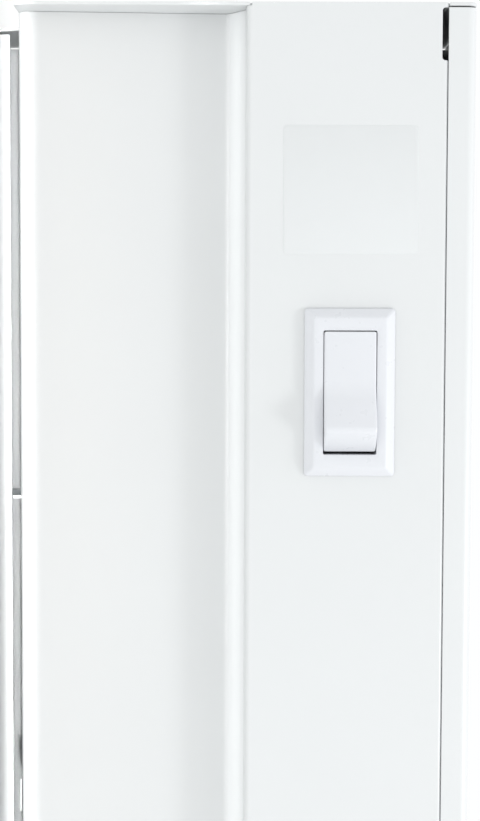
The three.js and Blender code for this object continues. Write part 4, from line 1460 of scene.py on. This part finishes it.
@dataclass
class Element:
    """The finned tubular element with its supports, insulators, pins and crimps."""

    shop: Workshop
    fin_pitch: float = 4 * MM
    fin_foil: float = 0.35 * MM
    fin_grid: tuple[int, int] = (13, 15)
    rib: float = 0.5 * MM
    collar: float = 5.2 * MM
    collar_bore: float = 4.3 * MM
    collar_ridge: float = 0.35 * MM
    sheath_radius: float = 4 * MM
    sheath_wall: float = 0.8 * MM
    pin_radius: float = 1.5 * MM
    insulator_bore: float = 1.8 * MM
    bushing_radii: tuple[float, float] = (5.5 * MM, 7.4 * MM)

    def build(self) -> None:
        """Makes every piece of the element."""
        self.fins()
        self.sheath()
        for side in ("left", "right"):
            self.insulator(side)
            self.pin(side)
            self.shop.polish("crimp_" + side, Slot.BRASS, 0.3 * MM)
        for place in ("left", "middle", "right"):
            self.bushing(place)
            self.shop.polish("element_bracket_" + place, Slot.GALVANISED, 0.2 * MM)
            self.shop.polish("cover_clip_" + place, Slot.SPRING, 0.12 * MM)

    def axis(self) -> tuple[float, float, float]:
        """A point on the element's centre line, at X zero."""
        middle = box_middle("element_sheath")
        return 0.0, middle.y, middle.z

    def fins(self) -> None:
        """Every fin: a rippled plate, repeated along the rod, and the collars between them.

        A fin is a grid whose point (u, v) is displaced along X by two shallow pressed ribs,
        rib * (cos(4 pi u) - 1) * sin(pi v)^2, and its two upright edges are turned over. Fins
        beside the brackets are left out.
        """
        low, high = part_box("fin_pack")
        rim, clear, turned_over = 4 * MM, 1.2 * MM, 0.35 * MM
        count = int((high.x - low.x - 2 * rim) / self.fin_pitch) + 1
        x = low.x + rim + self.fin_pitch * np.arange(count)
        for place in ("left", "middle", "right"):
            near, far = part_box("element_bracket_" + place)
            x = x[(x < near.x - clear) | (x > far.x + clear)]
        rows, columns = self.fin_grid
        u, v = np.meshgrid(np.linspace(0, 1, rows), np.linspace(0, 1, columns), indexing="ij")
        ripple = self.rib * (np.cos(2 * FULL_TURN * u) - 1) * np.sin(HALF_TURN * v) ** 2
        edge = turned_over * (1 - np.minimum(1, 12 * np.minimum(u, 1 - u)))
        y = low.y + (high.y - low.y) * u
        z = low.z + (high.z - low.z) * v
        one = np.stack([ripple + edge, y, z], axis=-1)
        points = one[None] + np.stack([x, 0 * x, 0 * x], axis=-1)[:, None, None, :]
        steps = (np.arange(len(x)) * rows * columns)[:, None, None]
        faces = (grid_faces(rows, columns, False)[None] + steps).reshape(-1, 4)
        piece = make_piece("fin_row", points, [tuple(face) for face in faces.tolist()])
        thicken(piece, self.fin_foil)
        settle(piece)
        merge_into(piece, closed_piece("collars", [self.collar_shell(low.x, high.x)]))
        self.shop.hand_in(piece, Slot.FIN, "fin_pack")

    def collar_shell(self, start: float, end: float) -> Shell:
        """The drawn collars as one tube along X, narrower by a ridge at each fin's place.

        Args:
            start: where the tube begins.
            end: where it ends.

        Returns:
            The points and faces.
        """
        along = np.arange(start, end, self.fin_pitch / 4)
        radius = self.collar - self.collar_ridge * (np.arange(len(along)) % 4 == 0)
        outer = np.stack([along, radius], axis=-1)
        inner = np.array([[along[-1], self.collar_bore], [along[0], self.collar_bore]])
        return turned_shell(np.concatenate([outer, inner]), self.axis(), "x", 20, False)

    def sheath(self) -> None:
        """The steel tube with a rolled lip at each mouth, stopped 10 mm inside."""
        low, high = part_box("element_sheath")
        radius, stop = self.sheath_radius, 10 * MM
        mouth = radius - self.sheath_wall
        inside = [(low.x + stop, 0.0), (low.x + stop, mouth), (low.x + 0.2 * MM, mouth)]
        lip = [
            (low.x, mouth + 0.2 * MM),
            (low.x, radius - 0.25 * MM),
            (low.x + 0.25 * MM, radius),
        ]
        left = np.array(inside + lip)
        right = left[::-1] * [-1, 1] + [low.x + high.x, 0]
        along = np.linspace(low.x + 2 * stop, high.x - 2 * stop, 60)
        tube = np.stack([along, np.full(len(along), radius)], axis=-1)
        profile = np.concatenate([left, tube, right])
        piece = closed_piece("element_sheath_tube", [turned_shell(profile, self.axis(), "x", 40)])
        shade(piece.data, 50)
        self.shop.hand_in(piece, Slot.SHEATH, "element_sheath")

    def insulator(self, side: str) -> None:
        """A bored ceramic plug with a domed head; its profile's rows are in millimetres.

        Args:
            side: "left" or "right".
        """
        node = "element_insulator_" + side
        low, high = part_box(node)
        head = 4 * MM
        out, mouth = (-1, low.x + head) if side == "left" else (1, high.x - head)
        plug = [(-8.0, 2.2), (-7.6, 2.7), (0.3, 2.8)]
        dome = [(0.3, 4.2), (0.6, 4.6), (2.6, 4.6), (3.4, 4.2), (3.9, 3.2), (4.0, 2.1)]
        profile = np.array([(mouth + out * x * MM, radius * MM) for x, radius in plug + dome])
        bore = self.insulator_bore
        inner = np.array([[profile[-1, 0], bore], [profile[0, 0], bore]])
        shell = turned_shell(np.concatenate([profile, inner]), self.axis(), "x", 36, False)
        self.shop.hand_in(closed_piece(node + "_piece", [shell]), Slot.CERAMIC, node)

    def pin(self, side: str) -> None:
        """A terminal pin with chamfered ends.

        Args:
            side: "left" or "right".
        """
        node = "element_pin_" + side
        low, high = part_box(node)
        profile = rod_profile(low.x, high.x, self.pin_radius, 0.3 * MM)
        piece = closed_piece(node + "_piece", [turned_shell(profile, self.axis(), "x", 28)])
        soften(piece, 0.05 * MM, 1)
        self.shop.hand_in(piece, Slot.BRASS, node)

    def bushing(self, place: str) -> None:
        """A nylon ring with chamfered rims between a bracket and the collars.

        Args:
            place: "left", "middle" or "right".
        """
        node = "element_bushing_" + place
        low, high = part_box(node)
        middle = box_middle(node)
        inner, outer = self.bushing_radii
        edge = 0.3 * MM
        outside = rod_profile(low.x, high.x, outer, edge)[1:-1]
        near = [(high.x, inner + edge), (high.x - edge, inner)]
        far = [(low.x + edge, inner), (low.x, inner + edge)]
        profile = np.concatenate([outside, np.array(near + far)])
        shell = turned_shell(profile, (0, middle.y, middle.z), "x", 40, False)
        self.shop.hand_in(closed_piece(node + "_piece", [shell]), Slot.NYLON, node)


@dataclass
class Wiring:
    """Leads, splices, earth connection, cable bushing, wire channel and partitions."""

    shop: Workshop

    def build(self) -> None:
        """Makes every piece of the wiring and its enclosure."""
        for node in (
            "compartment_floor_left",
            "compartment_floor_right",
            "barrier_left",
            "barrier_right",
            "bulb_clip_left",
            "bulb_clip_right",
            "wire_channel",
        ):
            self.shop.polish(node, Slot.GALVANISED, 0.18 * MM)
        self.entry_bushing()
        leads = {
            "lead_line": Slot.WIRE_BLACK,
            "lead_load": Slot.WIRE_RED,
            "lead_limit": Slot.WIRE_RED,
            "lead_return": Slot.WIRE_WHITE,
            "earth_lead": Slot.WIRE_GREEN,
        }
        for node, slot in leads.items():
            self.lead(node, slot)
        shells = {
            "splice_line": Slot.SPLICE_RED,
            "splice_neutral": Slot.SPLICE_YELLOW,
            "splice_earth": Slot.SPLICE_GREEN,
        }
        for node, slot in shells.items():
            self.splice(node, slot)
        screw = closed_piece("earth_screw_piece", [screw_shell("earth_screw", 3.6 * MM, 1.7 * MM)])
        self.shop.hand_in(screw, Slot.SCREW_GREEN, "earth_screw")
        self.shop.polish("earth_lug", Slot.BRASS, 0.15 * MM)
        self.limit_control()

    def lead(self, node: str, slot: Slot) -> None:
        """A lead: the CAD tube with its flats rounded by one subdivision.

        Args:
            node: the CAD lead.
            slot: its finish.
        """
        piece = refined_copy(node, node + "_piece")
        round_off = piece.modifiers.new("round", "SUBSURF")
        round_off.levels = round_off.render_levels = 1
        self.shop.hand_in(piece, slot, node)

    def splice(self, node: str, slot: Slot) -> None:
        """A twist-on splice: a taper with grip ribs, and a cone inside its mouth.

        Its radius over place t and angle a is taper(t) * (1 + rib * grip(t) * cos(16 a)). The
        tables' rows are t along its length, the radius in millimetres, and the grip's strength.

        Args:
            node: the CAD splice that gives its place.
            slot: its finish.
        """
        low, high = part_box(node)
        middle = box_middle(node)
        rib, rib_count = 0.035, 16
        nose = [(0.0, 0.0, 0.0), (0.0, 2.8, 0.0), (0.02, 3.4, 0.0), (0.08, 4.0, 0.5)]
        taper = [(0.2, 4.4, 1.0), (0.4, 4.8, 1.0), (0.6, 5.2, 1.0), (0.8, 5.6, 1.0)]
        skirt = [(0.9, 5.8, 0.4), (0.96, 5.8, 0.0), (1.0, 5.6, 0.0), (1.0, 5.2, 0.0)]
        cone = [(0.99, 4.6, 0.0), (0.75, 3.6, 0.0), (0.55, 3.0, 0.0), (0.55, 0.0, 0.0)]
        t, radius, grip = np.array(nose + taper + skirt + cone).T[..., None]
        angle = np.linspace(0, FULL_TURN, 6 * rib_count, endpoint=False)
        radius = np.maximum(radius * MM, HAIR) * (1 + rib * grip * np.cos(rib_count * angle))
        x = low.x + (high.x - low.x) * t + 0 * angle
        y = middle.y + radius * np.cos(angle)
        z = middle.z + radius * np.sin(angle)
        piece = closed_piece(node + "_piece", [ringed_shell(np.stack([x, y, z], axis=-1))])
        shade(piece.data, 55)
        self.shop.hand_in(piece, slot, node)

    def entry_bushing(self) -> None:
        """The snap-in cable bushing: collar, barrel and a rounded bore.

        The tables' rows are the depth in front of the wall face in millimetres and the radius.
        """
        middle = box_middle("entry_bushing")
        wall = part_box("entry_bushing")[1].y
        barrel, collar, bore = 10.5 * MM, 13.5 * MM, 7 * MM
        mouth, chamfer = bore + 0.8 * MM, 0.4 * MM
        back = [(0.0, mouth), (0.0, barrel - 0.3 * MM), (0.3, barrel), (1.1, barrel)]
        ring = [(1.2, collar - chamfer), (1.6, collar), (3.8, collar), (4.2, collar - chamfer)]
        front = [(4.4, barrel + chamfer), (9.3, barrel), (9.8, barrel - 0.5 * MM), (9.8, mouth)]
        inside = [(9.0, bore), (0.8, bore)]
        steps = back + ring + front + inside
        profile = np.array([(wall - depth * MM, radius) for depth, radius in steps])
        shell = turned_shell(profile, (middle.x, 0, middle.z), "y", 48, False)
        piece = closed_piece("entry_bushing_piece", [shell])
        shade(piece.data, 50)
        self.shop.hand_in(piece, Slot.PHENOLIC, "entry_bushing")

    def limit_control(self) -> None:
        """The overheat limit's body and its drawn bulb."""
        self.shop.polish("limit_control", Slot.PHENOLIC, 0.7 * MM)
        low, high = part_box("limit_bulb")
        middle = box_middle("limit_bulb")
        radius = 1.2 * MM
        nose = arc((low.x + radius, 0.0), radius, HALF_TURN, QUARTER_TURN, 7)
        profile = np.concatenate([nose, [[high.x, radius], [high.x, 0.0]]])
        shell = turned_shell(profile, (0, middle.y, middle.z), "x", 20)
        piece = closed_piece("limit_bulb_piece", [shell])
        shade(piece.data, 50)
        self.shop.hand_in(piece, Slot.COPPER, "limit_bulb")


# ---------------------------------------------------------------------------------------------
# Studio
# ---------------------------------------------------------------------------------------------


@dataclass(frozen=True)
class Lamp:
    """One rectangular light that the camera doesn't see; its beam's spread is in degrees."""

    name: str
    place: Vector
    aim: Vector
    size: tuple[float, float]
    watts: float
    spread: float = 180.0
    tint: tuple[float, float, float] = WHITE

    def hang(self) -> None:
        """Makes the light."""
        data = bpy.data.lights.new(self.name, "AREA")
        data.shape = "RECTANGLE"
        data.size, data.size_y = self.size
        data.energy = self.watts
        data.spread = math.radians(self.spread)
        data.color = self.tint
        lamp = bpy.data.objects.new(self.name, data)
        lamp.visible_camera = False
        lamp.location = self.place
        lamp.rotation_mode = "QUATERNION"
        lamp.rotation_quaternion = self.aim.to_track_quat("-Z", "Y")
        bpy.context.scene.collection.objects.link(lamp)


@dataclass
class Studio:
    """A pale floor, soft light from above and a long-lens camera close on the left end."""

    stand: Vector
    subject: Vector
    azimuth: float = -3.07
    elevation: float = 0.23
    roll: float = 0.18
    lens: float = 62.8
    far_limit: float = 60.0
    sky: float = 1.005
    sky_colour: tuple[float, float, float] = (0.985, 0.995, 1.0)
    warm: tuple[float, float, float] = (1.0, 0.78, 0.58)
    floor_half: float = 12.0
    floor_drop: float = 0.2 * MM
    floor_tones: tuple[tuple[float, float, float], ...] = ((0.93, 0.93, 0.92), (0.96, 0.96, 0.955))

    def build(self) -> None:
        """Makes the floor, the lights, the world and the camera."""
        self.floor()
        self.world()
        self.lights()
        self.camera()
        bpy.context.scene.view_settings.view_transform = "Standard"
        bpy.context.scene.view_settings.look = "None"

    def floor(self) -> None:
        """A large pale floor, just under the heater."""
        half, level = self.floor_half, -self.floor_drop
        outline = [(-half, -half), (half, -half), (half, half), (-half, half)]
        corners = np.array([(x, y, level) for x, y in outline])
        floor = make_piece("studio_floor", corners, [(0, 1, 2, 3)])
        tree = FinishTree("studio_floor")
        tree.colour(tree.mix(tree.noise(0.4, 2.0), *self.floor_tones))
        tree.set(Roughness=0.9, Specular_IOR_Level=0.2)
        floor.data.materials.append(tree.material)

    def world(self) -> None:
        """An even, slightly cool sky."""
        world = bpy.data.worlds.new("studio")
        bpy.context.scene.world = world
        world.use_nodes = True
        background = world.node_tree.nodes["Background"]
        background.inputs["Color"].default_value = (*self.sky_colour, 1.0)
        background.inputs["Strength"].default_value = self.sky

    def lights(self) -> None:
        """Soft lights overhead and to the right, and narrow strips low in front of the heater."""
        for name, way, distance, side, watts in (
            ("top", Vector((0.0, -0.25, 1.0)), 1.5, 0.8, 2.2),
            ("steep", Vector((0.35, -0.55, 1.0)), 1.2, 0.2, 3.8),
            ("side", Vector((1.0, -0.6, 0.5)), 1.5, 0.6, 1.8),
        ):
            place = self.subject + way.normalized() * distance
            Lamp(name, place, -way, (side, side), watts).hang()
        level, up, down = Vector((0, 1, 0)), Vector((0, 1, 1)), Vector((0, 1, -0.166))
        for name, before, height, aim, size, watts, spread, tint in (
            ("foot", 0.25, 12 * MM, level, (0.7, 0.02), 0.0085, 40.0, self.warm),
            ("lip", 0.12, 8.5 * MM, level, (0.9, 0.005), 0.022, 5.0, WHITE),
            ("step", 0.08, 2 * MM, up, (0.9, 0.004), 0.0065, 6.0, WHITE),
            ("gap", 0.12, 35 * MM, down, (0.9, 0.004), 0.017, 5.0, WHITE),
        ):
            place = Vector((self.subject.x + 0.02, self.subject.y - before, height))
            Lamp(name, place, aim, size, watts, spread, tint).hang()

    def camera(self) -> None:
        """A camera lying on its side: the picture's right is up and its top is the left end.

        Its back axis is (sin a cos e, -cos a cos e, sin e) for azimuth a and elevation e. The
        picture's up is the level direction towards the left end, turned by the roll.
        """
        a, e = math.radians(self.azimuth), math.radians(self.elevation)
        back = Vector((math.sin(a) * math.cos(e), -math.cos(a) * math.cos(e), math.sin(e)))
        right = Vector((-1.0, 0.0, 0.0)).cross(back).normalized()
        up = back.cross(right)
        turn = Matrix.Rotation(math.radians(self.roll), 3, back)
        right, up = turn @ right, turn @ up
        data = bpy.data.cameras.new("camera")
        data.lens = self.lens
        data.clip_end = self.far_limit
        camera = bpy.data.objects.new("camera", data)
        axes = Matrix((right, up, back)).transposed().to_4x4()
        camera.matrix_world = Matrix.Translation(self.stand) @ axes
        bpy.context.scene.collection.objects.link(camera)
        bpy.context.scene.camera = camera


def main() -> None:
    """Builds the heater around its frame, then the studio."""
    logging.basicConfig(level=logging.INFO, format="%(name)s: %(message)s")
    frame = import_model()
    shop = Workshop(Paintbox())
    cover_low, cover_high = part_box("front_cover")
    _, panel_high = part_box("back_panel")
    Casing(
        shop,
        wall=panel_high.y,
        front=cover_low.y,
        left=cover_low.x,
        right=cover_high.x,
        top=panel_high.z,
    ).build()
    pivot = next(j for j in frame["joints"] if j["name"] == "rocker_tilt")["pos_m"]
    RockerSwitch(shop, front=cover_low.y, pivot=Vector(pivot)).build()
    Element(shop).build()
    Wiring(shop).build()
    Studio(
        stand=Vector((cover_low.x + 97.6 * MM, cover_low.y - 427.2 * MM, 84.1 * MM)),
        subject=box_middle("switch_housing"),
    ).build()


if __name__ == "__main__":
    main()
